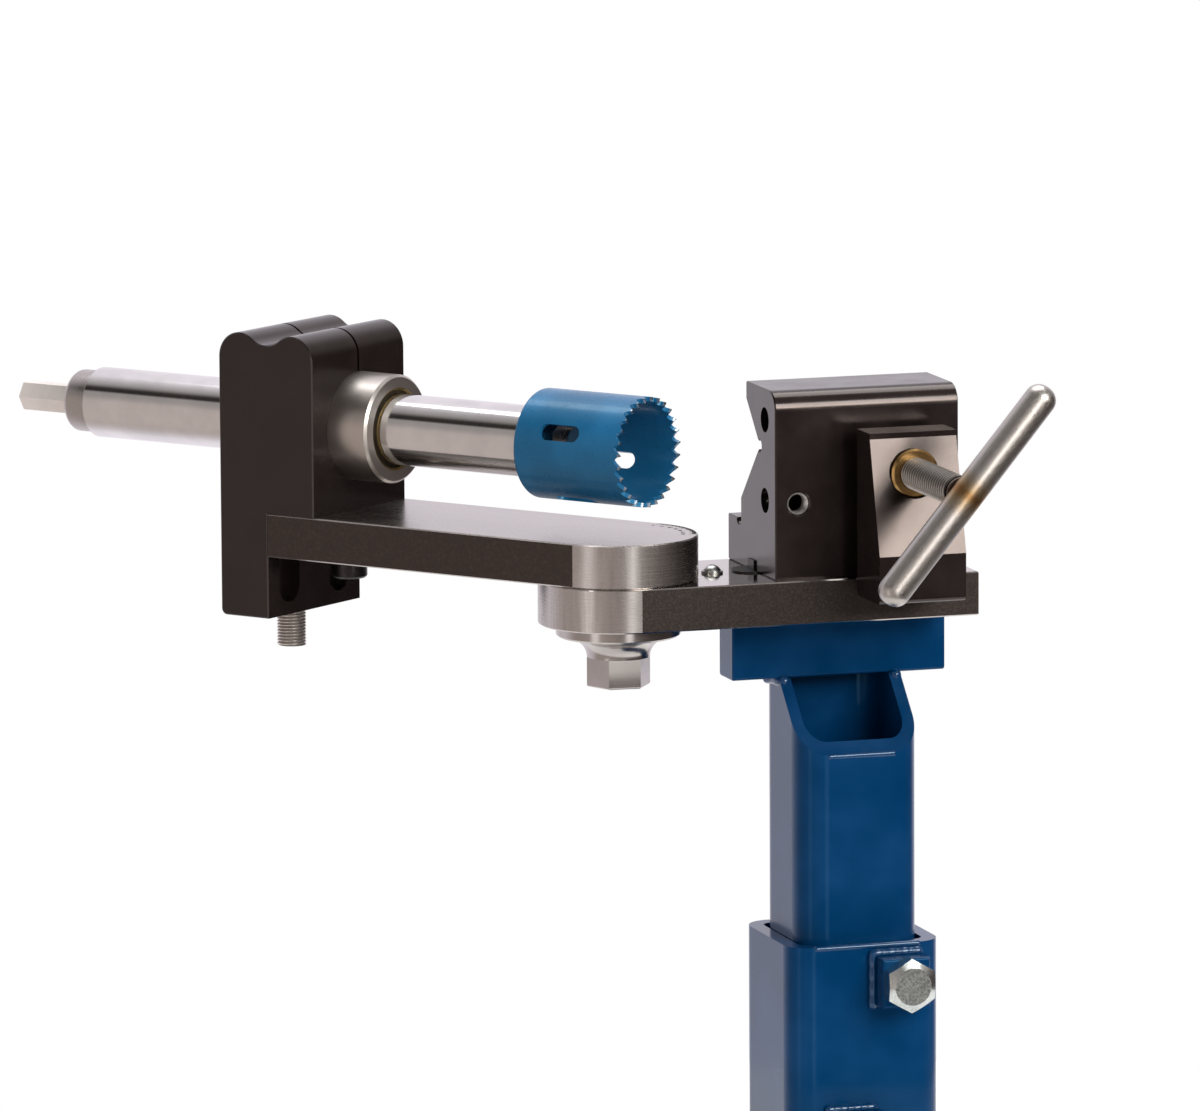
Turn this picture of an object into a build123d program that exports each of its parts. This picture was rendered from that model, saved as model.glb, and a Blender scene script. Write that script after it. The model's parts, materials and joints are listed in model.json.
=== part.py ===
from build123d import *
import math
import os

# A tube notcher on a post mount. All sizes are in millimetres.
# Origin: centre of the foot plate's underside. +Z up, +X along the base plate away from the
# swing pivot, -Y towards the operator.

# ---------------------------------------------------------------- stand
FOOT_SIDE = 130.0
FOOT_THICKNESS = 12.0
FOOT_CORNER = 9.0
FOOT_BOLT_HOLE = 13.5
FOOT_BOLT_SPACING = 100.0
RECEIVER_SIDE = 63.5
RECEIVER_WALL = 5.95
RECEIVER_LENGTH = 114.5
RECEIVER_CORNER = 10.9
LOCK_NUT_SIDE = 20.0
LOCK_NUT_THICKNESS = 10.5
LOCK_NUT_ROUND = 1.2
LOCK_HIGH_OFFSET = 12.7
LOCK_LOW_OFFSET = -5.6
LOCK_BOLT_DROP = 14.3
LOCK_BOLT_SPACING = 62.0
LOCK_BOLT_DIAMETER = 12.7
LOCK_HEAD_FLATS = 19.05
LOCK_HEAD_HEIGHT = 8.0
LOCK_HEAD_TURN = 30.0
LOCK_HEAD_GAP = 0.3
LOCK_TIP_GAP = 0.2
WELD_LEG = 4.5

# ---------------------------------------------------------------- post
SLIDE_GAP = 0.4
POST_WALL = 4.8
POST_CORNER = 12.5
POST_STICKOUT = 102.8
POST_INSERT = 96.0
POST_CUT_DROP = 26.9
POST_CUT_BACK = 27.6
BAR_LENGTH = 89.2
BAR_HEIGHT = 27.2
BAR_DEPTH = 17.0
BAR_STEP = 0.8
BAR_CORNER = 1.5
BAR_WELD_LEG = 4.5

# ---------------------------------------------------------------- plates and pivot
PLATE_WIDTH = 63.5
PLATE_THICKNESS = 17.5
BASE_LENGTH = 139.6
PIVOT_TO_POST = 93.0
ARM_LENGTH = 147.7
ARM_GAP = 0.12
ARM_ANGLE = 128.34
PIVOT_SHANK = 19.0
PIVOT_DEPTH_IN_ARM = 12.0
PIVOT_FLANGE_DIAMETER = 49.4
PIVOT_FLANGE_THICKNESS = 4.0
PIVOT_COLLAR_HEIGHT = 9.5
PIVOT_COLLAR_FILLET = 7.5
PIVOT_HEX_FLATS = 22.2
PIVOT_HEX_HEIGHT = 11.8
PIVOT_HEX_TURN = -4.4
EDGE_BREAK = 0.5
RUN_FIT = 0.05
FACE_GAP = 0.15

# ---------------------------------------------------------------- spindle block
AXIS_HEIGHT = 51.1
BLOCK_START = 125.0
BLOCK_DEPTH = 46.0
BLOCK_ABOVE_AXIS = 38.7
BLOCK_BOTTOM = -25.0
HUMP_RADIUS = 10.2
VALLEY_DEPTH = 4.5
SLIT_WIDTH = 1.3
BLOCK_ROUND = 2.5
SLEEVE_DIAMETER = 43.7
SLEEVE_WALL = 5.2
SLEEVE_OVERHANG = 18.8
SLEEVE_CHAMFER = 1.0
ROLLER_COUNT = 12
ROLLER_LENGTH = 22.0
ROLLER_CLEARANCE = 0.04
SEAL_WIDTH = 3.0
SEAL_RECESS = 0.8
SEAL_GAP = 0.08
PINCH_SCREW = 8.0
PINCH_HEAD = 12.6
PINCH_HEAD_HEIGHT = 8.0
PINCH_BLIND_WALL = 7.0
END_SCREW = 8.0
END_SCREW_HEAD = 14.0
END_SCREW_HEAD_HEIGHT = 4.4
END_SCREW_SPACING = 42.0
END_SCREW_DEPTH = 22.0
FOOT_SCREW = 9.5
FOOT_SCREW_HEAD = 14.3
FOOT_SCREW_HEAD_HEIGHT = 9.5
FOOT_SCREW_COVER = 1.75
FOOT_SCREW_SETBACK = 17.5
WASHER_THICKNESS = 1.2
RELIEF_SPACING = 34.0
RELIEF_WIDTH = 14.0
RELIEF_DEPTH = 4.5
RELIEF_LOW = -20.0
STUD_DIAMETER = 11.0
STUD_SHANK = 9.6
STUD_DROP = 15.7
STUD_ENTRY = 20.0
STUD_CHAMFER = 1.0

# ---------------------------------------------------------------- spindle and hole saw
SHAFT_DIAMETER = 28.575
SHAFT_END = 258.9
SHAFT_CHAMFER = 1.8
SAW_TIP = -15.4
SAW_DIAMETER = 43.7
SAW_WALL = 1.8
SAW_LENGTH = 50.7
SAW_BACK_THICKNESS = 5.0
SAW_TOOTH_COUNT = 27
SAW_TOOTH_DEPTH = 3.0
SAW_BACK_ROUND = 1.5
SAW_SLOT_COUNT = 4
SAW_SLOT_ANGLE = 21.5
SAW_SLOT_LENGTH = 18.6
SAW_SLOT_WIDTH = 6.6
SAW_SLOT_SETBACK = 19.8
ARBOR_NUT_FLATS = 22.0
ARBOR_NUT_HEIGHT = 7.0
NECK_DIAMETER = 15.0
NECK_LENGTH = 3.5
COLLAR_DIAMETER = 25.2
COLLAR_LENGTH = 9.6
COLLAR_CHAMFER = 1.6
HEX_FLATS = 11.1
HEX_LENGTH = 23.9

# ---------------------------------------------------------------- tube clamp
V_START = 56.2
V_LENGTH = 76.2
V_HEIGHT = 74.65
V_FRONT = 28.0
V_TOP_BACK = 8.5
V_TOP_ROUND = 7.5
V_APEX = -8.2
V_WALL_BACK = 15.6
V_SHELF_HEIGHT = 18.5
V_RELIEF_RADIUS = 2.4
ROD_HOLE = 10.0
ROD_HOLE_BEHIND_FRONT = 13.0
ROD_HOLE_HIGH = 62.3
ROD_HOLE_LOW = 30.2
ROD_SCREW = 8.7
ROD_SCREW_SETBACK = 9.5
ROD_SCREW_CHAMFER = 0.9
V_SCREW = 6.0
V_SCREW_HEAD = 10.0
V_SCREW_HEAD_HEIGHT = 6.0
V_SCREW_ENTRY = 14.0
V_SCREW_INSET = 7.0
V_SCREW_Y_FRONT = -19.5
V_SCREW_Y_BACK = 25.6
BAR_SCREW = 8.0
BAR_SCREW_HEAD = 15.0
BAR_SCREW_ENTRY = 14.0
YOKE_X = 105.1
CLAMP_SCREW_X = 104.2
CLAMP_SCREW_HEIGHT = 44.5
CLAMP_SCREW_DIAMETER = 12.7
CLAMP_TIP_GAP = 0.3
YOKE_WIDTH = 35.8
YOKE_BACK = -36.7
YOKE_FRONT_TOP = -52.2
YOKE_FRONT_LOW = -64.0
YOKE_TOP = 60.2
YOKE_SLOPE_TOP = 58.0
YOKE_SLOPE_LOW = 13.0
YOKE_BOTTOM = -6.0
YOKE_ROUND = 2.2
WEB_WIDTH = 24.0
WEB_HEIGHT = 12.6
WEB_LIFT = 0.2
CHANNEL_GAP = 0.5
JAW_FACE = 45.8
JAW_BACK = 75.0
JAW_UPRIGHT = 13.0
JAW_TOP = 62.0
JAW_NOSE_BOTTOM = 36.0
NUT_FLANGE = 19.4
NUT_FLANGE_THICKNESS = 3.5
NUT_BODY = 17.0
NUT_SEAT = -54.5
TEE_DIAMETER = 12.7
TEE_LENGTH = 104.7
TEE_Y = -118.5
TEE_ANGLE = 50.3
TEE_ROUND_SHARE = 0.45
TEE_WELD = 2.2

# ---------------------------------------------------------------- index pointer
POINTER_SCREW_X = 39.0
POINTER_SCREW = 4.0
POINTER_SCREW_HEAD = 7.2
POINTER_SCREW_HEAD_HEIGHT = 2.4
POINTER_WASHER = 8.7
POINTER_WASHER_THICKNESS = 0.9
POINTER_Y = 1.0
POINTER_LEAF_RADIUS = 8.6
POINTER_THICKNESS = 0.6
POINTER_TAB_WIDTH = 7.4
POINTER_TAB_HEIGHT = 4.4

# ---------------------------------------------------------------- derived places
RECEIVER_TOP = FOOT_THICKNESS + RECEIVER_LENGTH
RECEIVER_FRONT = -RECEIVER_SIDE / 2
POST_SIDE = RECEIVER_SIDE - 2 * (RECEIVER_WALL + SLIDE_GAP)
POST_FRONT = -POST_SIDE / 2
BAR_BOTTOM = RECEIVER_TOP + POST_STICKOUT
CUT_TOP = POST_FRONT + POST_CUT_BACK
BAR_FRONT = CUT_TOP + BAR_STEP
BAR_MID = BAR_FRONT + BAR_DEPTH / 2
BASE_BOTTOM = BAR_BOTTOM + BAR_HEIGHT
BASE_TOP = BASE_BOTTOM + PLATE_THICKNESS
PIVOT_X = -PIVOT_TO_POST
BLOCK_END = BLOCK_START + BLOCK_DEPTH
BLOCK_MID = (BLOCK_START + BLOCK_END) / 2
BLOCK_TOP = AXIS_HEIGHT + BLOCK_ABOVE_AXIS
HUMP_Z = BLOCK_TOP - HUMP_RADIUS
FOOT_SCREW_ENTRY = AXIS_HEIGHT - SLEEVE_DIAMETER / 2 - PLATE_THICKNESS - FOOT_SCREW_COVER
HALF_WIDTH = PLATE_WIDTH / 2
SLEEVE_INNER = SLEEVE_DIAMETER / 2 - SLEEVE_WALL
SLEEVE_FRONT = BLOCK_START - SLEEVE_OVERHANG
LOCK_HIGH = RECEIVER_TOP - LOCK_BOLT_DROP
LOCK_LOW = LOCK_HIGH - LOCK_BOLT_SPACING
LOCK_PLACES = ((LOCK_HIGH_OFFSET, LOCK_HIGH), (LOCK_LOW_OFFSET, LOCK_LOW))
TUBE_HEIGHT = AXIS_HEIGHT
CHANNEL_WIDTH = WEB_WIDTH + 2 * CHANNEL_GAP
CHANNEL_HEIGHT = WEB_LIFT + WEB_HEIGHT + CHANNEL_GAP
LOW_BLOCK_MID = (ARM_LENGTH + BLOCK_END) / 2
SAW_BACK = SAW_TIP + SAW_LENGTH

base_frame = Pos(PIVOT_X, 0, BASE_TOP)
arm_frame = Pos(PIVOT_X, 0, BASE_TOP + ARM_GAP) * Rot(0, 0, ARM_ANGLE)


# ---------------------------------------------------------------- small helpers
def block(x0, x1, y0, y1, z0, z1):
    """A box given by its six faces."""
    size = Box(x1 - x0, y1 - y0, z1 - z0)
    return Pos((x0 + x1) / 2, (y0 + y1) / 2, (z0 + z1) / 2) * size


def rod_x(x0, x1, y, z, diameter):
    """A round bar along X."""
    return Pos((x0 + x1) / 2, y, z) * Rot(0, 90, 0) * Cylinder(diameter / 2, x1 - x0)


def rod_y(x, y0, y1, z, diameter):
    """A round bar along Y."""
    return Pos(x, (y0 + y1) / 2, z) * Rot(90, 0, 0) * Cylinder(diameter / 2, y1 - y0)


def rod_z(x, y, z0, z1, diameter):
    """A round bar along Z."""
    return Pos(x, y, (z0 + z1) / 2) * Cylinder(diameter / 2, z1 - z0)


def prism_x(profile, x0, x1):
    """A profile drawn in Y and Z, extruded along X."""
    return Pos(x0, 0, 0) * (Plane.YZ * extrude(profile, x1 - x0, dir=(0, 0, 1)))


def prism_y(profile, y0, y1):
    """A profile drawn in X and Z, extruded along Y."""
    return Pos(0, y1, 0) * (Plane.XZ * extrude(profile, y1 - y0, dir=(0, 0, 1)))


def hex_z(x, y, z0, z1, flats, turn=0.0):
    """A hexagonal bar along Z."""
    shape = RegularPolygon(flats / 2, 6, major_radius=False, rotation=turn)
    return Pos(x, y, z0) * extrude(shape, z1 - z0)


def ring_z(z0, z1, outer, inner):
    """A washer about the Z axis."""
    return rod_z(0, 0, z0, z1, outer) - rod_z(0, 0, z0 - 1, z1 + 1, inner)


def dome_z(height, diameter):
    """A button head standing on Z = 0: a slice of a ball."""
    radius = diameter / 2
    ball = (radius**2 + height**2) / (2 * height)
    return Pos(0, 0, height - ball) * Sphere(ball) & rod_z(0, 0, 0, height, diameter)


def socket_z(z0, depth, flats):
    """The hexagonal recess of a socket screw, opening at z0 + depth."""
    return hex_z(0, 0, z0, z0 + depth, flats)


def edges_at(shape, axis, value):
    """Edges that lie in the plane axis = value."""
    return shape.edges().filter_by_position(axis, value - 0.01, value + 0.01)


def fillet_prism(length, leg):
    """A weld bead along X, lying in the corner between the planes Y = 0 and Z = 0."""
    bead = Polygon((0, 0), (-leg, 0), (-leg * 0.62, leg * 0.62), (0, leg), align=None)
    return prism_x(bead, -length / 2, length / 2)


# ---------------------------------------------------------------- stand
def foot_plate():
    half = FOOT_SIDE / 2
    body = block(-half, half, -half, half, 0, FOOT_THICKNESS)
    body = fillet(body.edges().filter_by(Axis.Z), FOOT_CORNER)
    reach = FOOT_BOLT_SPACING / 2
    for x in (-reach, reach):
        for y in (-reach, reach):
            body -= rod_z(x, y, -1, FOOT_THICKNESS + 1, FOOT_BOLT_HOLE)
    return body


def square_tube(side, wall, corner, z0, z1):
    """Square tube, upright, with rounded corners inside and out."""
    outside = RectangleRounded(side, side, corner)
    inside = RectangleRounded(side - 2 * wall, side - 2 * wall, corner - wall)
    return Pos(0, 0, z0) * extrude(outside - inside, z1 - z0)


def receiver_tube():
    body = square_tube(RECEIVER_SIDE, RECEIVER_WALL, RECEIVER_CORNER, FOOT_THICKNESS, RECEIVER_TOP)
    for x, z in LOCK_PLACES:
        inner = RECEIVER_FRONT + RECEIVER_WALL + 1
        body -= rod_y(x, RECEIVER_FRONT - 1, inner, z, LOCK_BOLT_DIAMETER + 2 * RUN_FIT)
    return body


def lock_nuts():
    """Square weld nuts on the receiver's front, one for each lock bolt."""
    nuts = []
    face = RECEIVER_FRONT - LOCK_NUT_THICKNESS
    half = LOCK_NUT_SIDE / 2
    for x, z in LOCK_PLACES:
        body = block(x - half, x + half, face, RECEIVER_FRONT, z - half, z + half)
        body = fillet(edges_at(body, Axis.Y, face), LOCK_NUT_ROUND)
        body -= rod_y(x, face - 1, RECEIVER_FRONT + 1, z, LOCK_BOLT_DIAMETER + 2 * RUN_FIT)
        nuts.append(body)
    return nuts


def nut_welds():
    """Beads down each nut's left side and along its top."""
    beads = []
    half = LOCK_NUT_SIDE / 2
    for x, z in LOCK_PLACES:
        above = Pos(x, RECEIVER_FRONT, z + half) * fillet_prism(LOCK_NUT_SIDE, WELD_LEG)
        side = Pos(x - half, RECEIVER_FRONT, z) * Rot(0, -90, 0)
        beads.append(above + side * fillet_prism(LOCK_NUT_SIDE, WELD_LEG))
    return beads


def foot_welds():
    """Beads round the foot of the receiver, on its four straight sides."""
    beads = []
    length = RECEIVER_SIDE - 2 * RECEIVER_CORNER
    for turn in (0, 90, 180, 270):
        place = Rot(0, 0, turn) * Pos(0, RECEIVER_FRONT, FOOT_THICKNESS)
        beads.append(place * fillet_prism(length, WELD_LEG))
    return beads


def lock_bolt(x, z):
    """Hexagon bolt that presses on the post, its points up and down."""
    tip = POST_FRONT - LOCK_TIP_GAP
    under_head = RECEIVER_FRONT - LOCK_NUT_THICKNESS - LOCK_HEAD_GAP
    shank = rod_z(0, 0, 0, tip - under_head, LOCK_BOLT_DIAMETER)
    shank = chamfer(edges_at(shank, Axis.Z, tip - under_head), 1.0)
    head = hex_z(0, 0, -LOCK_HEAD_HEIGHT, 0, LOCK_HEAD_FLATS, LOCK_HEAD_TURN)
    ball_low = LOCK_HEAD_FLATS / 2 - 0.6
    cone = Pos(0, 0, -LOCK_HEAD_HEIGHT / 2) * Cone(ball_low, ball_low + 3.8, LOCK_HEAD_HEIGHT)
    body = shank + (head & cone)
    return Pos(x, under_head, z) * Rot(-90, 0, 0) * body


def lock_bolt_upper():
    return lock_bolt(*LOCK_PLACES[0])


def lock_bolt_lower():
    return lock_bolt(*LOCK_PLACES[1])


# ---------------------------------------------------------------- post
def post_tube():
    body = square_tube(POST_SIDE, POST_WALL, POST_CORNER, RECEIVER_TOP - POST_INSERT, BAR_BOTTOM)
    over = POST_CUT_DROP / POST_CUT_BACK
    wedge = Polygon(
        (POST_FRONT - 1, BAR_BOTTOM - POST_CUT_DROP - over),
        (CUT_TOP, BAR_BOTTOM),
        (CUT_TOP, BAR_BOTTOM + 5),
        (POST_FRONT - 1, BAR_BOTTOM + 5),
        align=None,
    )
    return body - prism_x(wedge, -POST_SIDE, POST_SIDE)


def top_bar():
    half = BAR_LENGTH / 2
    body = block(-half, half, BAR_FRONT, BAR_FRONT + BAR_DEPTH, BAR_BOTTOM, BASE_BOTTOM)
    low = body.edges().filter_by(Axis.X).filter_by_position(Axis.Z, BAR_BOTTOM - 1, BAR_BOTTOM + 1)
    body = fillet(low, BAR_CORNER)
    upright = body.edges().filter_by(Axis.Z)
    body = fillet(upright, BAR_CORNER * 0.5)
    for x in bar_screw_places():
        body -= rod_z(x + PIVOT_X, BAR_MID, BASE_BOTTOM - BAR_SCREW_ENTRY, BASE_BOTTOM + 1, BAR_SCREW)
    return body


def bar_welds():
    """Beads between the bar's underside and the post's two side walls."""
    beads = []
    start = BAR_FRONT + BAR_CORNER
    length = POST_SIDE / 2 - POST_CORNER - start
    for side in (-1, 1):
        place = Pos(side * POST_SIDE / 2, start + length / 2, BAR_BOTTOM)
        beads.append(place * Rot(0, 0, side * 90) * Rot(90, 0, 0) * fillet_prism(length, BAR_WELD_LEG))
    return beads


def v_screw_places():
    left = V_START + V_SCREW_INSET + 2.0
    right = V_START + V_LENGTH - V_SCREW_INSET
    return [(x, y) for x in (left, right) for y in (V_SCREW_Y_FRONT, V_SCREW_Y_BACK)]


def bar_screw_places():
    return (V_START + V_SCREW_INSET + 2.0, V_START + V_LENGTH - V_SCREW_INSET)


def counterbores():
    """Holes under the base plate for the screws that hold the V-block."""
    cut = []
    for x, y in v_screw_places():
        cut.append(rod_z(x, y, -PLATE_THICKNESS - 1, 1, V_SCREW + 0.4))
        deep = -PLATE_THICKNESS + V_SCREW_HEAD_HEIGHT + 0.4
        cut.append(rod_z(x, y, -PLATE_THICKNESS - 1, deep, V_SCREW_HEAD + 0.6))
    return cut


def rounded_bar(length, z0):
    """A flat bar from the pivot to length, its pivot end a half circle."""
    body = block(0, length, -HALF_WIDTH, HALF_WIDTH, z0, z0 + PLATE_THICKNESS)
    return body + rod_z(0, 0, z0, z0 + PLATE_THICKNESS, PLATE_WIDTH)


def break_edges(body, z0, z1):
    rims = body.edges().filter_by_position(Axis.Z, z0 - 0.01, z0 + 0.01)
    rims += body.edges().filter_by_position(Axis.Z, z1 - 0.01, z1 + 0.01)
    return chamfer(rims, EDGE_BREAK)


def base_plate():
    body = rounded_bar(BASE_LENGTH, -PLATE_THICKNESS)
    body = break_edges(body, -PLATE_THICKNESS, 0)
    body -= rod_z(0, 0, -PLATE_THICKNESS - 1, 1, PIVOT_SHANK + 2 * RUN_FIT)
    for cut in counterbores():
        body -= cut
    for x in bar_screw_places():
        body -= rod_z(x, BAR_MID, -PLATE_THICKNESS - 1, 1, BAR_SCREW + 0.4)
        body -= Pos(x, BAR_MID, 0) * countersink(BAR_SCREW_HEAD + 0.6)
    body -= rod_z(POINTER_SCREW_X, 0, -8, 1, POINTER_SCREW)
    return base_frame * body


def countersink(diameter):
    """A 90 degree cone under Z = 0, opened a little above it."""
    depth = diameter / 2
    return Pos(0, 0, -depth / 2) * Cone(0, depth, depth) + rod_z(0, 0, 0, 1, diameter)


def bar_screws():
    """Flat socket screws, flush with the base plate's top."""
    screws = []
    drop = PLATE_THICKNESS + BAR_SCREW_ENTRY - 1
    for x in bar_screw_places():
        head = Pos(0, 0, -BAR_SCREW_HEAD / 4) * Cone(0, BAR_SCREW_HEAD / 2, BAR_SCREW_HEAD / 2)
        body = rod_z(0, 0, -drop, -0.2, BAR_SCREW - 0.1) + Pos(0, 0, -0.2) * head
        body -= socket_z(-4.2, 5, 5.0)
        screws.append(base_frame * Pos(x, BAR_MID, 0) * body)
    return screws


def v_profile():
    """The block's end view in Y and Z: a 90 degree V that opens to the back, over a shelf."""
    mouth = TUBE_HEIGHT + (V_TOP_BACK - V_APEX)
    wall_top = TUBE_HEIGHT - (V_WALL_BACK - V_APEX)
    outline = Polygon(
        (-V_FRONT, 0),
        (-V_FRONT, V_HEIGHT),
        (V_TOP_BACK, V_HEIGHT),
        (V_TOP_BACK, mouth),
        (V_APEX, TUBE_HEIGHT),
        (V_WALL_BACK, wall_top),
        (V_WALL_BACK, V_SHELF_HEIGHT),
        (HALF_WIDTH, V_SHELF_HEIGHT),
        (HALF_WIDTH, 0),
        align=None,
    )
    corner = outline.vertices().sort_by_distance((-V_FRONT, V_HEIGHT))[0]
    outline = fillet(corner, V_TOP_ROUND)
    outline -= Pos(V_APEX, TUBE_HEIGHT) * Circle(V_RELIEF_RADIUS)
    return outline - Pos(V_WALL_BACK + V_RELIEF_RADIUS, V_SHELF_HEIGHT) * Circle(V_RELIEF_RADIUS)


def v_block():
    body = prism_x(v_profile(), V_START, V_START + V_LENGTH)
    ends = edges_at(body, Axis.X, V_START) + edges_at(body, Axis.X, V_START + V_LENGTH)
    body = chamfer(ends, EDGE_BREAK)
    rod_y_place = -V_FRONT + ROD_HOLE_BEHIND_FRONT
    for z in (ROD_HOLE_LOW, ROD_HOLE_HIGH):
        body -= rod_x(V_START - 1, V_START + V_LENGTH + 1, rod_y_place, z, ROD_HOLE)
    screw_x = V_START + ROD_SCREW_SETBACK
    body -= rod_y(screw_x, -V_FRONT - 1, rod_y_place, ROD_HOLE_LOW, ROD_SCREW)
    mouth = Cone(ROD_SCREW / 2, ROD_SCREW / 2 + ROD_SCREW_CHAMFER, ROD_SCREW_CHAMFER)
    body -= Pos(screw_x, -V_FRONT + ROD_SCREW_CHAMFER / 2, ROD_HOLE_LOW) * Rot(90, 0, 0) * mouth
    half = CHANNEL_WIDTH / 2
    body -= block(
        YOKE_X - half, YOKE_X + half, -V_FRONT - 1, HALF_WIDTH + 1, -1, CHANNEL_HEIGHT
    )
    for x, y in v_screw_places():
        body -= rod_z(x, y, -1, V_SCREW_ENTRY, V_SCREW)
    return base_frame * body


def v_block_screws():
    """Socket screws up through the base plate into the V-block."""
    screws = []
    under = -PLATE_THICKNESS + 0.4
    for x, y in v_screw_places():
        head = rod_z(0, 0, under, under + V_SCREW_HEAD_HEIGHT, V_SCREW_HEAD)
        stem = rod_z(0, 0, under + V_SCREW_HEAD_HEIGHT, V_SCREW_ENTRY - 0.5, V_SCREW - 0.1)
        body = head + stem - socket_z(under - 1, 5, 6.0)
        screws.append(base_frame * Pos(x, y, 0) * body)
    return screws


def pointer_screw():
    washer = rod_z(0, 0, 0, POINTER_WASHER_THICKNESS, POINTER_WASHER)
    head = Pos(0, 0, POINTER_WASHER_THICKNESS) * dome_z(POINTER_SCREW_HEAD_HEIGHT, POINTER_SCREW_HEAD)
    top = POINTER_WASHER_THICKNESS + POINTER_SCREW_HEAD_HEIGHT
    body = washer + head + rod_z(0, 0, -7.5, 0, POINTER_SCREW - 0.1) - socket_z(top - 1.3, 2, 2.4)
    return base_frame * Pos(POINTER_SCREW_X, 0, 0) * body


def pointer_back():
    return V_START - FACE_GAP


def pointer_disc():
    """Half-round leaf on the base plate, its straight side along the V-block."""
    back = pointer_back()
    leaf = rod_z(back, POINTER_Y, 0, POINTER_THICKNESS, 2 * POINTER_LEAF_RADIUS)
    reach = POINTER_LEAF_RADIUS + 1
    behind = block(back, back + reach, POINTER_Y - reach, POINTER_Y + reach, -1, POINTER_THICKNESS + 1)
    return base_frame * (leaf - behind)


def pointer_blade():
    """Tab that stands on the leaf, along the V-block."""
    back = pointer_back()
    half = POINTER_TAB_WIDTH / 2
    tab = block(
        back - POINTER_THICKNESS, back, POINTER_Y - half, POINTER_Y + half, POINTER_THICKNESS, POINTER_TAB_HEIGHT
    )
    return base_frame * tab


# ---------------------------------------------------------------- pivot
def pivot_bolt():
    """Flanged hexagon bolt that goes up through the base plate into the arm."""
    flange_top = -PLATE_THICKNESS - FACE_GAP
    flange_low = flange_top - PIVOT_FLANGE_THICKNESS
    collar_low = flange_low - PIVOT_COLLAR_HEIGHT
    radius = PIVOT_HEX_FLATS / 2 - 0.2
    wide = radius + PIVOT_COLLAR_FILLET
    flange = rod_z(0, 0, flange_low, flange_top, PIVOT_FLANGE_DIAMETER)
    flange = chamfer(edges_at(flange, Axis.Z, flange_low), 1.2)
    collar = rod_z(0, 0, collar_low, flange_low, 2 * wide)
    hollow = Pos(0, 0, flange_low - PIVOT_COLLAR_FILLET) * Torus(wide, PIVOT_COLLAR_FILLET)
    below = block(-wide - 1, wide + 1, -wide - 1, wide + 1, collar_low - 1, flange_low - PIVOT_COLLAR_FILLET)
    collar = collar - hollow - below
    stub = rod_z(0, 0, collar_low, flange_low, 2 * radius)
    hexagon = hex_z(0, 0, collar_low - PIVOT_HEX_HEIGHT, collar_low, PIVOT_HEX_FLATS, PIVOT_HEX_TURN)
    hexagon = chamfer(edges_at(hexagon, Axis.Z, collar_low - PIVOT_HEX_HEIGHT), 0.8)
    shank = rod_z(0, 0, flange_top, ARM_GAP + PIVOT_DEPTH_IN_ARM - 0.5, PIVOT_SHANK)
    return base_frame * (flange + collar + stub + hexagon + shank)


# ---------------------------------------------------------------- arm
def arm_plate():
    body = rounded_bar(ARM_LENGTH, 0)
    body = break_edges(body, 0, PLATE_THICKNESS)
    body -= rod_z(0, 0, -1, PIVOT_DEPTH_IN_ARM, PIVOT_SHANK + 2 * RUN_FIT)
    body -= rod_z(foot_screw_place(), 0, -1, PLATE_THICKNESS + 1, FOOT_SCREW + 0.4)
    for y in (-END_SCREW_SPACING / 2, END_SCREW_SPACING / 2):
        inner = ARM_LENGTH - END_SCREW_DEPTH
        body -= rod_x(inner, ARM_LENGTH + 1, y, PLATE_THICKNESS / 2, END_SCREW)
    return arm_frame * body


def foot_screw_place():
    return ARM_LENGTH - FOOT_SCREW_SETBACK


def block_profile():
    """Side view in arm length and Z: two humps over the bore, and a hook over the arm's end."""
    front_hump = BLOCK_START + HUMP_RADIUS
    back_hump = BLOCK_END - HUMP_RADIUS
    half = (back_hump - front_hump) / 2
    rise = HUMP_RADIUS - VALLEY_DEPTH
    valley = (half**2 + rise**2 - HUMP_RADIUS**2) / (2 * (HUMP_RADIUS - rise))
    valley_z = HUMP_Z + rise + valley
    share = HUMP_RADIUS / (HUMP_RADIUS + valley)
    neck = half * (1 - share)
    neck_top = HUMP_Z + share * (valley_z - HUMP_Z)
    body = Pos(BLOCK_MID, (PLATE_THICKNESS + HUMP_Z) / 2) * Rectangle(BLOCK_DEPTH, HUMP_Z - PLATE_THICKNESS)
    low = Pos(LOW_BLOCK_MID, (BLOCK_BOTTOM + HUMP_Z) / 2)
    body += low * Rectangle(BLOCK_END - ARM_LENGTH, HUMP_Z - BLOCK_BOTTOM)
    for x in (front_hump, back_hump):
        body += Pos(x, HUMP_Z) * Circle(HUMP_RADIUS)
    saddle = Pos(BLOCK_MID, (HUMP_Z + neck_top) / 2) * Rectangle(2 * neck, neck_top - HUMP_Z)
    body += saddle - Pos(BLOCK_MID, valley_z) * Circle(valley)
    return body


def relief_slots():
    """Two round-bottomed recesses in the hook's inner face."""
    cuts = []
    for y in (-RELIEF_SPACING / 2, RELIEF_SPACING / 2):
        radius = RELIEF_WIDTH / 2
        upright = block(
            ARM_LENGTH - 1, ARM_LENGTH + RELIEF_DEPTH, y - radius, y + radius, RELIEF_LOW + radius, -0.01
        )
        end = rod_x(ARM_LENGTH - 1, ARM_LENGTH + RELIEF_DEPTH, y, RELIEF_LOW + radius, RELIEF_WIDTH)
        cuts.append(upright + end)
    return cuts


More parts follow.
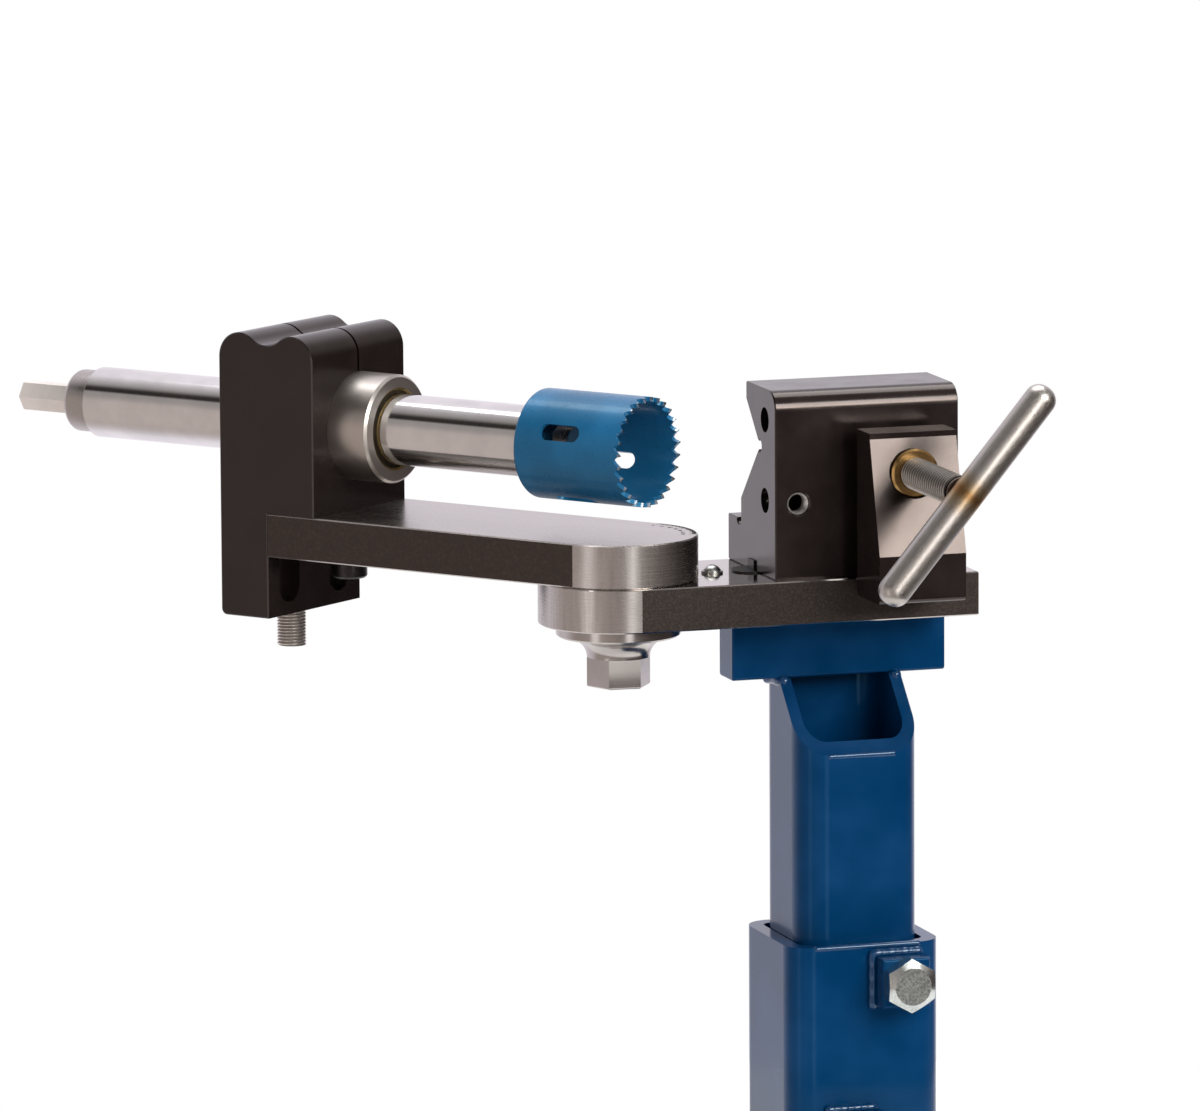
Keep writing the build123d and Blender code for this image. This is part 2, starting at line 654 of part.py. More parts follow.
def spindle_block():
    body = prism_y(block_profile(), -HALF_WIDTH, HALF_WIDTH)
    low = body.edges().filter_by_position(Axis.Z, BLOCK_BOTTOM - 0.01, BLOCK_BOTTOM + 0.01)
    body = fillet(low.filter_by(Axis.Y).sort_by(Axis.X)[-1], BLOCK_ROUND)
    for y in (-HALF_WIDTH, HALF_WIDTH):
        body = chamfer(edges_at(body, Axis.Y, y), EDGE_BREAK)
    body -= rod_x(BLOCK_START - 1, BLOCK_END + 1, 0, AXIS_HEIGHT, SLEEVE_DIAMETER)
    body -= block(
        BLOCK_START - 1, BLOCK_END + 1, -SLIT_WIDTH / 2, SLIT_WIDTH / 2, AXIS_HEIGHT, BLOCK_TOP + 1
    )
    for x in pinch_places():
        body -= rod_y(x, -HALF_WIDTH - 1, HALF_WIDTH - PINCH_BLIND_WALL, HUMP_Z, PINCH_SCREW)
        body -= rod_y(x, -HALF_WIDTH - 1, -HALF_WIDTH + PINCH_HEAD_HEIGHT + 1, HUMP_Z, PINCH_HEAD + 0.6)
    for cut in relief_slots():
        body -= cut
    for y in (-END_SCREW_SPACING / 2, END_SCREW_SPACING / 2):
        body -= rod_x(ARM_LENGTH - 1, BLOCK_END + 1, y, PLATE_THICKNESS / 2, END_SCREW + 0.4)
    top = PLATE_THICKNESS + FOOT_SCREW_ENTRY
    body -= rod_z(foot_screw_place(), 0, PLATE_THICKNESS - 1, top, FOOT_SCREW)
    body -= rod_z(LOW_BLOCK_MID, 0, BLOCK_BOTTOM - 1, BLOCK_BOTTOM + STUD_ENTRY, STUD_SHANK + 0.1)
    return arm_frame * body


def pinch_places():
    return (BLOCK_START + HUMP_RADIUS, BLOCK_END - HUMP_RADIUS)


def pinch_screws():
    """Socket screws that close the slit, from the far side of the block."""
    screws = []
    seat = -HALF_WIDTH + PINCH_HEAD_HEIGHT + 1
    for x in pinch_places():
        head = rod_y(x, seat - PINCH_HEAD_HEIGHT, seat, HUMP_Z, PINCH_HEAD)
        stem = rod_y(x, seat, HALF_WIDTH - PINCH_BLIND_WALL - 1, HUMP_Z, PINCH_SCREW - 0.1)
        recess = Pos(x, seat - PINCH_HEAD_HEIGHT + 4, HUMP_Z) * Rot(90, 0, 0) * socket_z(0, 5, 6.0)
        screws.append(arm_frame * (head + stem - recess))
    return screws


def end_screws():
    """Button-head screws through the hook into the arm's end."""
    screws = []
    for y in (-END_SCREW_SPACING / 2, END_SCREW_SPACING / 2):
        head = dome_z(END_SCREW_HEAD_HEIGHT, END_SCREW_HEAD)
        length = BLOCK_END - ARM_LENGTH + END_SCREW_DEPTH - 1
        body = head + rod_z(0, 0, -length, 0, END_SCREW - 0.1) - socket_z(1.6, 4, 5.0)
        place = Pos(BLOCK_END, y, PLATE_THICKNESS / 2) * Rot(0, 90, 0)
        screws.append(arm_frame * place * body)
    return screws


def foot_screw():
    """Socket screw up through the arm into the block's foot, on a washer."""
    washer = rod_z(0, 0, -WASHER_THICKNESS, 0, FOOT_SCREW_HEAD + 2.6)
    low = -WASHER_THICKNESS - FOOT_SCREW_HEAD_HEIGHT
    head = rod_z(0, 0, low, -WASHER_THICKNESS, FOOT_SCREW_HEAD)
    head = chamfer(edges_at(head, Axis.Z, low), 0.8)
    stem = rod_z(0, 0, 0, PLATE_THICKNESS + FOOT_SCREW_ENTRY - 1, FOOT_SCREW - 0.1)
    body = washer + head + stem - socket_z(low - 1, 6, 7.9)
    return arm_frame * Pos(foot_screw_place(), 0, 0) * body


def block_stud():
    """Stud with a thinner shank in the block, its shoulder under the washer."""
    low = BLOCK_BOTTOM - STUD_DROP
    shoulder = BLOCK_BOTTOM - WASHER_THICKNESS - 0.2
    body = rod_z(0, 0, low, shoulder, STUD_DIAMETER)
    body = chamfer(edges_at(body, Axis.Z, low), STUD_CHAMFER)
    body += rod_z(0, 0, shoulder, BLOCK_BOTTOM + STUD_ENTRY - 0.5, STUD_SHANK)
    return arm_frame * Pos(LOW_BLOCK_MID, 0, 0) * body


def stud_washer():
    body = ring_z(BLOCK_BOTTOM - WASHER_THICKNESS, BLOCK_BOTTOM, STUD_DIAMETER + 3.6, STUD_SHANK + 0.4)
    return arm_frame * Pos(LOW_BLOCK_MID, 0, 0) * body


# ---------------------------------------------------------------- spindle bearing
def bearing_sleeve():
    body = rod_x(SLEEVE_FRONT, BLOCK_END, 0, AXIS_HEIGHT, SLEEVE_DIAMETER - 0.04)
    rim = edges_at(body, Axis.X, SLEEVE_FRONT)
    body = chamfer(rim, SLEEVE_CHAMFER)
    body -= rod_x(SLEEVE_FRONT - 1, BLOCK_END + 1, 0, AXIS_HEIGHT, 2 * SLEEVE_INNER)
    return arm_frame * body


def roller_row(start):
    """A ring of needle rollers between the sleeve and the shaft."""
    gap = SLEEVE_INNER - SHAFT_DIAMETER / 2
    diameter = gap - 2 * ROLLER_CLEARANCE
    pitch = SHAFT_DIAMETER / 2 + gap / 2
    rollers = []
    for k in range(ROLLER_COUNT):
        turn = math.radians(360 * k / ROLLER_COUNT)
        y = pitch * math.cos(turn)
        z = AXIS_HEIGHT + pitch * math.sin(turn)
        rollers.append(arm_frame * rod_x(start, start + ROLLER_LENGTH, y, z, diameter))
    return rollers


def bearing_rollers_front():
    return roller_row(SLEEVE_FRONT + SEAL_RECESS + SEAL_WIDTH + 0.5)


def bearing_rollers_rear():
    return roller_row(BLOCK_END - SEAL_RECESS - SEAL_WIDTH - 0.5 - ROLLER_LENGTH)


def bearing_seals():
    seals = []
    bore = SHAFT_DIAMETER + 2 * SEAL_GAP
    for start in (SLEEVE_FRONT + SEAL_RECESS, BLOCK_END - SEAL_RECESS - SEAL_WIDTH):
        body = rod_x(start, start + SEAL_WIDTH, 0, AXIS_HEIGHT, 2 * SLEEVE_INNER - 0.02)
        body -= rod_x(start - 1, start + SEAL_WIDTH + 1, 0, AXIS_HEIGHT, bore)
        seals.append(arm_frame * body)
    return seals


# ---------------------------------------------------------------- spindle
def spindle_shaft():
    start = SAW_BACK + FACE_GAP
    body = rod_x(start, SHAFT_END, 0, AXIS_HEIGHT, SHAFT_DIAMETER)
    body = chamfer(edges_at(body, Axis.X, SHAFT_END), SHAFT_CHAMFER)
    body -= rod_x(start - 1, SHAFT_END + 1, 0, AXIS_HEIGHT, NECK_DIAMETER + 2 * RUN_FIT)
    return arm_frame * body


def saw_slot(angle):
    """One chip slot, cut through the cup's wall."""
    start = SAW_TIP + SAW_SLOT_SETBACK
    shape = SlotOverall(SAW_SLOT_LENGTH, SAW_SLOT_WIDTH)
    cutter = Pos(start + SAW_SLOT_LENGTH / 2, 0, 0) * extrude(shape, SAW_DIAMETER)
    return Pos(0, 0, AXIS_HEIGHT) * Rot(angle - 90, 0, 0) * cutter


def saw_gullet(angle):
    """The gap between two teeth: a steep face, a round root and a sloping back."""
    pitch = math.pi * SAW_DIAMETER / SAW_TOOTH_COUNT
    root = pitch * 0.2
    side = Polygon(
        (-1, -pitch * 0.42),
        (0, -pitch * 0.4),
        (SAW_TOOTH_DEPTH - root, -pitch * 0.28),
        (SAW_TOOTH_DEPTH, -pitch * 0.1),
        (SAW_TOOTH_DEPTH - root, pitch * 0.16),
        (0, pitch * 0.5),
        (-1, pitch * 0.5),
        align=None,
    )
    cutter = Pos(SAW_TIP, 0, SAW_DIAMETER * 0.3) * extrude(side, SAW_DIAMETER * 0.3, dir=(0, 0, 1))
    return Pos(0, 0, AXIS_HEIGHT) * Rot(angle, 0, 0) * cutter


def hole_saw():
    """Cup with toothed rim, chip slots and a thick back."""
    body = rod_x(SAW_TIP, SAW_BACK, 0, AXIS_HEIGHT, SAW_DIAMETER)
    body = fillet(edges_at(body, Axis.X, SAW_BACK), SAW_BACK_ROUND)
    inner = SAW_DIAMETER - 2 * SAW_WALL
    body -= rod_x(SAW_TIP - 1, SAW_BACK - SAW_BACK_THICKNESS, 0, AXIS_HEIGHT, inner)
    body -= rod_x(SAW_BACK - SAW_BACK_THICKNESS - 1, SAW_BACK + 1, 0, AXIS_HEIGHT, NECK_DIAMETER + 2 * RUN_FIT)
    for k in range(SAW_SLOT_COUNT):
        body -= saw_slot(SAW_SLOT_ANGLE + 360 * k / SAW_SLOT_COUNT)
    for k in range(SAW_TOOTH_COUNT):
        body -= saw_gullet(360 * k / SAW_TOOTH_COUNT)
    return arm_frame * body


def saw_arbor():
    """The turning core inside the shaft, from the nose that holds the cup to the drive end."""
    inside = SAW_BACK - SAW_BACK_THICKNESS
    nose = rod_x(inside - ARBOR_NUT_HEIGHT - 4, SHAFT_END + NECK_LENGTH, 0, AXIS_HEIGHT, NECK_DIAMETER)
    nut = Rot(0, 90, 0) * hex_z(0, 0, 0, ARBOR_NUT_HEIGHT, ARBOR_NUT_FLATS)
    nut = Pos(inside - ARBOR_NUT_HEIGHT, 0, AXIS_HEIGHT) * nut
    return arm_frame * (nose + nut)


def drive_collar():
    start = SHAFT_END + NECK_LENGTH
    collar = rod_x(start, start + COLLAR_LENGTH, 0, AXIS_HEIGHT, COLLAR_DIAMETER)
    collar = chamfer(edges_at(collar, Axis.X, start + COLLAR_LENGTH), COLLAR_CHAMFER)
    collar = chamfer(edges_at(collar, Axis.X, start), 0.8)
    return arm_frame * collar


def drive_hex():
    start = SHAFT_END + NECK_LENGTH + COLLAR_LENGTH
    bar = hex_z(0, 0, 0, HEX_LENGTH, HEX_FLATS)
    bar = chamfer(edges_at(bar, Axis.Z, HEX_LENGTH), 0.8)
    return arm_frame * Pos(start, 0, AXIS_HEIGHT) * Rot(0, 90, 0) * bar


# ---------------------------------------------------------------- clamp
def yoke_upright():
    """Side view in Y and Z of the part in front of the V-block, thick at its foot."""
    outline = Polygon(
        (YOKE_BACK, YOKE_BOTTOM),
        (YOKE_BACK, YOKE_TOP),
        (YOKE_FRONT_TOP, YOKE_TOP),
        (YOKE_FRONT_TOP, YOKE_SLOPE_TOP),
        (YOKE_FRONT_LOW, YOKE_SLOPE_LOW),
        (YOKE_FRONT_LOW, YOKE_BOTTOM),
        align=None,
    )
    for y, z in ((YOKE_FRONT_LOW, YOKE_BOTTOM), (YOKE_BACK, YOKE_BOTTOM)):
        outline = fillet(outline.vertices().sort_by_distance((y, z))[0], YOKE_ROUND)
    return prism_x(outline, YOKE_X - YOKE_WIDTH / 2, YOKE_X + YOKE_WIDTH / 2)


def clamp_yoke():
    """C-shaped yoke: upright with the nut, web under the tube, jaw behind the tube."""
    low = WEB_LIFT
    left = YOKE_X - YOKE_WIDTH / 2
    right = YOKE_X + YOKE_WIDTH / 2
    upright = yoke_upright()
    upright -= rod_y(CLAMP_SCREW_X, YOKE_FRONT_LOW - 1, YOKE_BACK + 1, CLAMP_SCREW_HEIGHT, NUT_BODY)
    seat = NUT_FLANGE + 0.6
    upright -= rod_y(CLAMP_SCREW_X, YOKE_FRONT_LOW - 1, NUT_SEAT, CLAMP_SCREW_HEIGHT, seat)
    half = WEB_WIDTH / 2
    web = block(
        YOKE_X - half, YOKE_X + half, YOKE_BACK - 1, JAW_BACK - 1, low, low + WEB_HEIGHT
    )
    jaw = block(left, right, JAW_BACK - JAW_UPRIGHT, JAW_BACK, low, JAW_TOP)
    jaw = fillet(jaw.edges().filter_by(Axis.X).sort_by(Axis.Z)[-2:], YOKE_ROUND)
    nose = block(left, right, JAW_FACE, JAW_BACK - JAW_UPRIGHT + 3, JAW_NOSE_BOTTOM, JAW_TOP - YOKE_ROUND)
    nose = chamfer(edges_at(nose, Axis.Y, JAW_FACE), 1.0)
    return base_frame * (upright + web + jaw + nose)


def clamp_nut():
    """Flanged brass nut, pressed into the yoke."""
    x, z = CLAMP_SCREW_X, CLAMP_SCREW_HEIGHT
    flange = rod_y(x, NUT_SEAT - NUT_FLANGE_THICKNESS, NUT_SEAT, z, NUT_FLANGE)
    flange = chamfer(edges_at(flange, Axis.Y, NUT_SEAT - NUT_FLANGE_THICKNESS), 0.8)
    body = flange + rod_y(x, NUT_SEAT, YOKE_BACK, z, NUT_BODY - 0.04)
    bore = CLAMP_SCREW_DIAMETER + 2 * RUN_FIT
    return base_frame * (body - rod_y(x, NUT_SEAT - 9, YOKE_BACK + 1, z, bore))


def tee_shape():
    """The cross bar in its own frame, along X, with domed ends."""
    half = TEE_LENGTH / 2
    bar = rod_x(-half, half, 0, 0, TEE_DIAMETER)
    ends = edges_at(bar, Axis.X, -half) + edges_at(bar, Axis.X, half)
    return fillet(ends, TEE_DIAMETER * TEE_ROUND_SHARE)


def tee_frame():
    return base_frame * Pos(CLAMP_SCREW_X, TEE_Y, CLAMP_SCREW_HEIGHT) * Rot(0, -TEE_ANGLE, 0)


def tee_bar():
    return tee_frame() * tee_shape()


def clamp_screw():
    """Threaded rod, its tip against the V-block and its other end welded to the cross bar."""
    x, z = CLAMP_SCREW_X, CLAMP_SCREW_HEIGHT
    tip = -V_FRONT - CLAMP_TIP_GAP
    body = rod_y(x, TEE_Y, tip, z, CLAMP_SCREW_DIAMETER)
    body = chamfer(edges_at(body, Axis.Y, tip), 1.2)
    return base_frame * body - tee_frame() * tee_shape()


def tee_weld():
    """Bead round the screw where it meets the cross bar."""
    radius = CLAMP_SCREW_DIAMETER / 2
    bead = rod_y(0, 0, TEE_DIAMETER / 2 + TEE_WELD, 0, 2 * (radius + TEE_WELD))
    outer = edges_at(bead, Axis.Y, TEE_DIAMETER / 2 + TEE_WELD)
    bead = chamfer(outer, TEE_WELD * 0.96)
    bead -= rod_y(0, -1, TEE_DIAMETER, 0, 2 * radius)
    reach = radius + TEE_WELD + 1
    bead -= rod_x(-reach, reach, 0, 0, TEE_DIAMETER)
    bead &= block(-reach, reach, 0, TEE_DIAMETER, -radius - 1, radius + 1)
    return tee_frame() * bead


# ---------------------------------------------------------------- output
NODES = {
    "foot_plate": foot_plate,
    "receiver_tube": receiver_tube,
    "lock_nuts": lock_nuts,
    "nut_welds": nut_welds,
    "foot_welds": foot_welds,
    "lock_bolt_upper": lock_bolt_upper,
    "lock_bolt_lower": lock_bolt_lower,
    "post_tube": post_tube,
    "top_bar": top_bar,
    "bar_welds": bar_welds,
    "base_plate": base_plate,
    "bar_screws": bar_screws,
    "v_block": v_block,
    "v_block_screws": v_block_screws,
    "pointer_screw": pointer_screw,
    "pointer_disc": pointer_disc,
    "pointer_blade": pointer_blade,
    "pivot_bolt": pivot_bolt,
    "arm_plate": arm_plate,
    "spindle_block": spindle_block,
    "pinch_screws": pinch_screws,
    "end_screws": end_screws,
    "foot_screw": foot_screw,
    "block_stud": block_stud,
    "stud_washer": stud_washer,
    "bearing_sleeve": bearing_sleeve,
    "bearing_rollers_front": bearing_rollers_front,
    "bearing_rollers_rear": bearing_rollers_rear,
    "bearing_seals": bearing_seals,
    "spindle_shaft": spindle_shaft,
    "hole_saw": hole_saw,
    "saw_arbor": saw_arbor,
    "drive_collar": drive_collar,
    "drive_hex": drive_hex,
    "clamp_yoke": clamp_yoke,
    "clamp_nut": clamp_nut,
    "clamp_screw": clamp_screw,
    "tee_bar": tee_bar,
    "tee_weld": tee_weld,
}


def main():
    os.makedirs("parts", exist_ok=True)
    for name, make in NODES.items():
        made = make()
        if isinstance(made, list):
            made = Compound(children=[solid for piece in made for solid in piece.solids()])
        export_step(made, "parts/" + name + ".step")
        print(name, len(made.solids()), round(made.volume))


if __name__ == "__main__":
    main()
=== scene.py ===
"""Looks of the tube notcher: finishes, threads, weld beads, the scale and the studio round them."""

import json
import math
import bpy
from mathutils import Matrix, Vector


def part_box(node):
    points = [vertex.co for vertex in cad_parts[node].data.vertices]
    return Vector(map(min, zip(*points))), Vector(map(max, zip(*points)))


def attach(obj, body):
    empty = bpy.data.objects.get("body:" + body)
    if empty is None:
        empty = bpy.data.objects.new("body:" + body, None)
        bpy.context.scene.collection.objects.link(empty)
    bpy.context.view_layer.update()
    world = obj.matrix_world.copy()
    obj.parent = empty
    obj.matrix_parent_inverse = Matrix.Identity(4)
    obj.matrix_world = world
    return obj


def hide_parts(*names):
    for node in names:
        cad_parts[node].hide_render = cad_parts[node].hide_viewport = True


bl_info = {
    "name": "Tube Notcher",
    "version": (1, 0, 0),
    "blender": (4, 5, 0),
    "location": "3D View > Sidebar > Notcher",
    "description": "Finishes and fine pieces for a tube notcher on a post mount",
    "category": "Add Mesh",
}

import bpy
import bmesh
from bpy.props import FloatProperty, FloatVectorProperty, IntProperty
from mathutils import Matrix, Vector

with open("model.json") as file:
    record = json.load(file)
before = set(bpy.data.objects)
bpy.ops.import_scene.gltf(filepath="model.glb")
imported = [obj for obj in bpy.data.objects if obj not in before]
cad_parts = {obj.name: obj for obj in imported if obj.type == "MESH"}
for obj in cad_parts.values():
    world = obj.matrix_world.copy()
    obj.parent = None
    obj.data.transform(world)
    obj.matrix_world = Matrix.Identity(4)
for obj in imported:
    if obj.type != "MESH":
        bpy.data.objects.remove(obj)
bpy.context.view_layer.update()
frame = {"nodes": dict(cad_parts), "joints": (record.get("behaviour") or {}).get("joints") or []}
NODES = frame["nodes"]
JOINTS = {joint["name"]: joint for joint in frame["joints"]}

MM = 0.001
TOUCHING = 0.001 * MM  # points that are closer than this are one
SPINDLE_AXIS = -Vector(JOINTS["spindle_feed"]["axis"]).normalized()
ARM_TURN = math.atan2(SPINDLE_AXIS.y, SPINDLE_AXIS.x)
PIVOT = Vector(JOINTS["arm_swing"]["pos_m"])
SPINDLE_POINT = Vector(JOINTS["spindle_spin"]["pos_m"])
SCREW_POINT = Vector(JOINTS["clamp_screw_turn"]["pos_m"])
ARM_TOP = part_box("arm_plate")[1].z
SHAFT_RADIUS = (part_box("spindle_shaft")[1].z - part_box("spindle_shaft")[0].z) / 2

# Each line is a point on an axis and the turn that brings that axis onto X.
PIVOT_LINE = (PIVOT, (0, math.pi / 2, 0))
SPINDLE_LINE = (SPINDLE_POINT, (0, 0, -ARM_TURN))
SCREW_LINE = (SCREW_POINT, (0, 0, math.pi / 2))


def arm_place(along, across, height):
    """A point given along the arm from the pivot, across it towards the operator, and up from the plates."""
    sideways = Vector((-SPINDLE_AXIS.y, SPINDLE_AXIS.x, 0))
    return PIVOT + SPINDLE_AXIS * along + sideways * across + Vector((0, 0, height))


def along_arm(node):
    """The nearest and furthest that a node comes to the pivot, along the arm."""
    reach = [(corner.co - PIVOT).dot(SPINDLE_AXIS) for corner in NODES[node].data.vertices]
    return min(reach), max(reach)


# ------------------------------------------------------------------ user sizes and colours
def colour(name, description, value):
    return FloatVectorProperty(
        name=name, description=description, default=value, subtype="COLOR", size=3, min=0, max=1
    )


def length(name, description, value):
    return FloatProperty(name=name, description=description, default=value, subtype="DISTANCE", unit="LENGTH")


class NotcherPaint(bpy.types.PropertyGroup):
    post: colour("Post paint", "Gloss paint of the post, bar and receiver", (0.0, 0.029, 0.096))
    saw: colour("Saw enamel", "Enamel on the hole saw's cup", (0.008, 0.095, 0.215))
    anodised: colour("Anodised", "Black anodised aluminium", (0.0065, 0.0042, 0.0042))


class NotcherMetal(bpy.types.PropertyGroup):
    ground: colour("Ground steel", "Machined plate faces", (0.47, 0.44, 0.42))
    mill: colour("Mill scale", "Rolled sides of the plates", (0.0165, 0.011, 0.0085))
    polished: colour("Polished shaft", "Polished spindle", (0.80, 0.79, 0.78))
    brass: colour("Brass", "Clamp nut", (0.50, 0.31, 0.12))
    stainless: colour("Stainless", "T-handle", (0.46, 0.435, 0.41))
    zinc: colour("Zinc", "Plated bolts", (0.50, 0.51, 0.49))


class NotcherDrive(bpy.types.PropertyGroup):
    set_back: length("Shaft set-back", "How far the shaft's outer end stops short of the solid's", 4.6 * MM)
    collar_length: length("Collar length", "Length of the collar at the shaft's outer end", 10.0 * MM)
    hex_length: length("Hexagon length", "Length of the drive hexagon", 27.4 * MM)
    hex_flats: length("Hexagon flats", "Drive hexagon across its flats", 11.1 * MM)


class NotcherThreads(bpy.types.PropertyGroup):
    clamp_pitch: length("Clamp pitch", "Pitch of the clamp screw's thread", 2.54 * MM)
    hole_pitch: length("Hole pitch", "Pitch of the tapped hole in the V-block's front", 1.25 * MM)
    stud_pitch: length("Stud pitch", "Pitch of the stud's thread", 1.27 * MM)
    relief: length("Relief", "Plain neck between the clamp screw's thread and its T-handle", 3.0 * MM)
    depth: FloatProperty(
        name="Thread depth", description="Depth as a share of the pitch", default=0.5, min=0.1, max=0.8
    )


class NotcherScale(bpy.types.PropertyGroup):
    last: IntProperty(
        name="Last degree", description="Highest notch angle on the scale", default=60, min=10, max=90
    )
    tick: length("Tick", "Length of a degree's mark", 1.6 * MM)
    figure: length("Figure height", "Height of the figures", 2.3 * MM)


# ------------------------------------------------------------------ materials
class Graph:
    """A node tree under construction. Its short methods add one node each and return an output."""

    def __init__(self, tree):
        self.tree = tree

    def feed(self, socket, value):
        """Gives a socket a number, a vector, a colour of three parts or another node's output."""
        if isinstance(value, bpy.types.NodeSocket):
            self.tree.links.new(value, socket)
        elif socket.type == "RGBA":
            socket.default_value = (*value, 1)
        else:
            socket.default_value = value

    def add(self, kind, **inputs):
        """A new node. An underscore in an input's name stands for a space."""
        node = self.tree.nodes.new(kind)
        for name, value in inputs.items():
            self.feed(node.inputs[name.replace("_", " ")], value)
        return node

    def axis(self, vector, name):
        """One part of a vector."""
        return self.add("ShaderNodeSeparateXYZ", Vector=vector).outputs[name]

    def maths(self, operation, first, second=None):
        node = self.tree.nodes.new("ShaderNodeMath")
        node.operation = operation
        self.feed(node.inputs[0], first)
        if second is not None:
            self.feed(node.inputs[1], second)
        return node.outputs[0]

    def span(self, value, low, high, out_low=0.0, out_high=1.0):
        """value carried from low..high to out_low..out_high, smoothly and no further."""
        node = self.add("ShaderNodeMapRange", Value=value, From_Min=low, From_Max=high)
        node.interpolation_type = "SMOOTHSTEP"
        node.inputs["To Min"].default_value = out_low
        node.inputs["To Max"].default_value = out_high
        return node.outputs["Result"]

    def mix(self, kind, *slots):
        """A Mix node, whose sockets are told apart by their numbers."""
        node = self.tree.nodes.new("ShaderNodeMix")
        node.data_type = kind
        for slot, value in slots:
            self.feed(node.inputs[slot], value)
        return node

    def blend(self, share, first, second):
        """first where share is 0 and second where it is 1. Each is a colour or an output."""
        return self.mix("RGBA", (0, share), (6, first), (7, second)).outputs[2]

    def mixed(self, share, first, second):
        """The same for plain numbers."""
        return self.mix("FLOAT", (0, share), (2, first), (3, second)).outputs[0]


class Finish(Graph):
    """A material under construction round one Principled shader."""

    def __init__(self, name, colour, metallic=0.0, roughness=0.4, **more):
        self.material = bpy.data.materials.new(name)
        self.material.use_nodes = True
        self.material.diffuse_color = (*colour, 1)
        super().__init__(self.material.node_tree)
        self.shader = self.tree.nodes["Principled BSDF"]
        self.coordinates = self.tree.nodes.new("ShaderNodeTexCoord")
        self.link(colour, "Base Color")
        self.link(metallic, "Metallic")
        self.link(roughness, "Roughness")
        for socket, value in more.items():
            self.link(value, socket.replace("_", " "))

    def link(self, value, socket):
        """Feeds one of the shader's own sockets."""
        self.feed(self.shader.inputs[socket], value)

    def mapped(self, vector, **how):
        """A vector after a Location, a Rotation or a Scale."""
        return self.add("ShaderNodeMapping", Vector=vector, **how).outputs["Vector"]

    def object_space(self, location=(0, 0, 0), turn=(0, 0, 0)):
        """Object coordinates, moved so that location is the centre, then turned."""
        centred = self.mapped(self.coordinates.outputs["Object"], Location=[-value for value in location])
        return self.mapped(centred, Rotation=turn)

    def from_axis(self, here):
        """Distance from the X axis of a turned space."""
        across = self.maths("POWER", self.axis(here, "Y"), 2.0)
        up = self.maths("POWER", self.axis(here, "Z"), 2.0)
        return self.maths("SQRT", self.maths("ADD", across, up))

    def facing(self, name):
        """How squarely the surface faces along one of the object's axes, to either side."""
        return self.maths("ABSOLUTE", self.axis(self.coordinates.outputs["Normal"], name))

    def noise(self, vector, scale, detail=4.0, roughness=0.55):
        node = self.add("ShaderNodeTexNoise", Vector=vector, Scale=scale, Detail=detail, Roughness=roughness)
        return node.outputs["Fac"]

    def waver(self, value, noise, amount):
        """A value that a noise moves by up to half the amount, either way."""
        return self.maths("ADD", value, self.maths("MULTIPLY", self.maths("SUBTRACT", noise, 0.5), amount))

    def relief(self, height, distance, strength):
        """Small bumps in the surface. The distance is in metres."""
        node = self.add("ShaderNodeBump", Height=height, Distance=distance, Strength=strength)
        self.link(node.outputs["Normal"], "Normal")


def dress(material, *nodes):
    """Gives CAD nodes a finish."""
    for name in nodes:
        mesh = NODES[name].data
        mesh.materials.clear()
        mesh.materials.append(material)


def shade(colour, factor, lift=0.0):
    """A colour made darker or lighter."""
    return [min(1.0, factor * part + lift) for part in colour]


def gloss_paint(name, colour, coat):
    """Sprayed gloss paint: a faint orange peel and small runs of tone."""
    f = Finish(
        name,
        colour,
        roughness=0.22,
        IOR=1.34,
        Specular_Tint=(0.05, 0.4, 0.7),
        Coat_Weight=coat,
        Coat_Roughness=0.05,
        Coat_IOR=1.45,
    )
    here = f.object_space()
    tone = f.noise(here, 22, 3)
    f.link(f.blend(f.span(tone, 0.35, 0.75), colour, shade(colour, 1.45, 0.006)), "Base Color")
    peel = f.noise(here, 330, 2)
    f.relief(peel, 0.06 * MM, 0.55)
    return f.material


def black_anodised(colour):
    """Polished anodised aluminium: smooth and dark, with faint clouding and the last cutter's fine lines."""
    f = Finish("black_anodised", colour, roughness=0.2, IOR=1.55, Specular_Tint=(1.0, 0.86, 0.8))
    here = f.object_space()
    cloud = f.noise(here, 60, 4)
    f.link(f.span(cloud, 0.3, 0.75, 0.17, 0.24), "Roughness")
    f.link(f.blend(f.span(cloud, 0.35, 0.8), colour, shade(colour, 1.6)), "Base Color")
    lines = f.noise(f.mapped(here, Scale=(30, 30, 1400)), 1, 2)
    f.relief(lines, 0.003 * MM, 0.5)
    return f.material


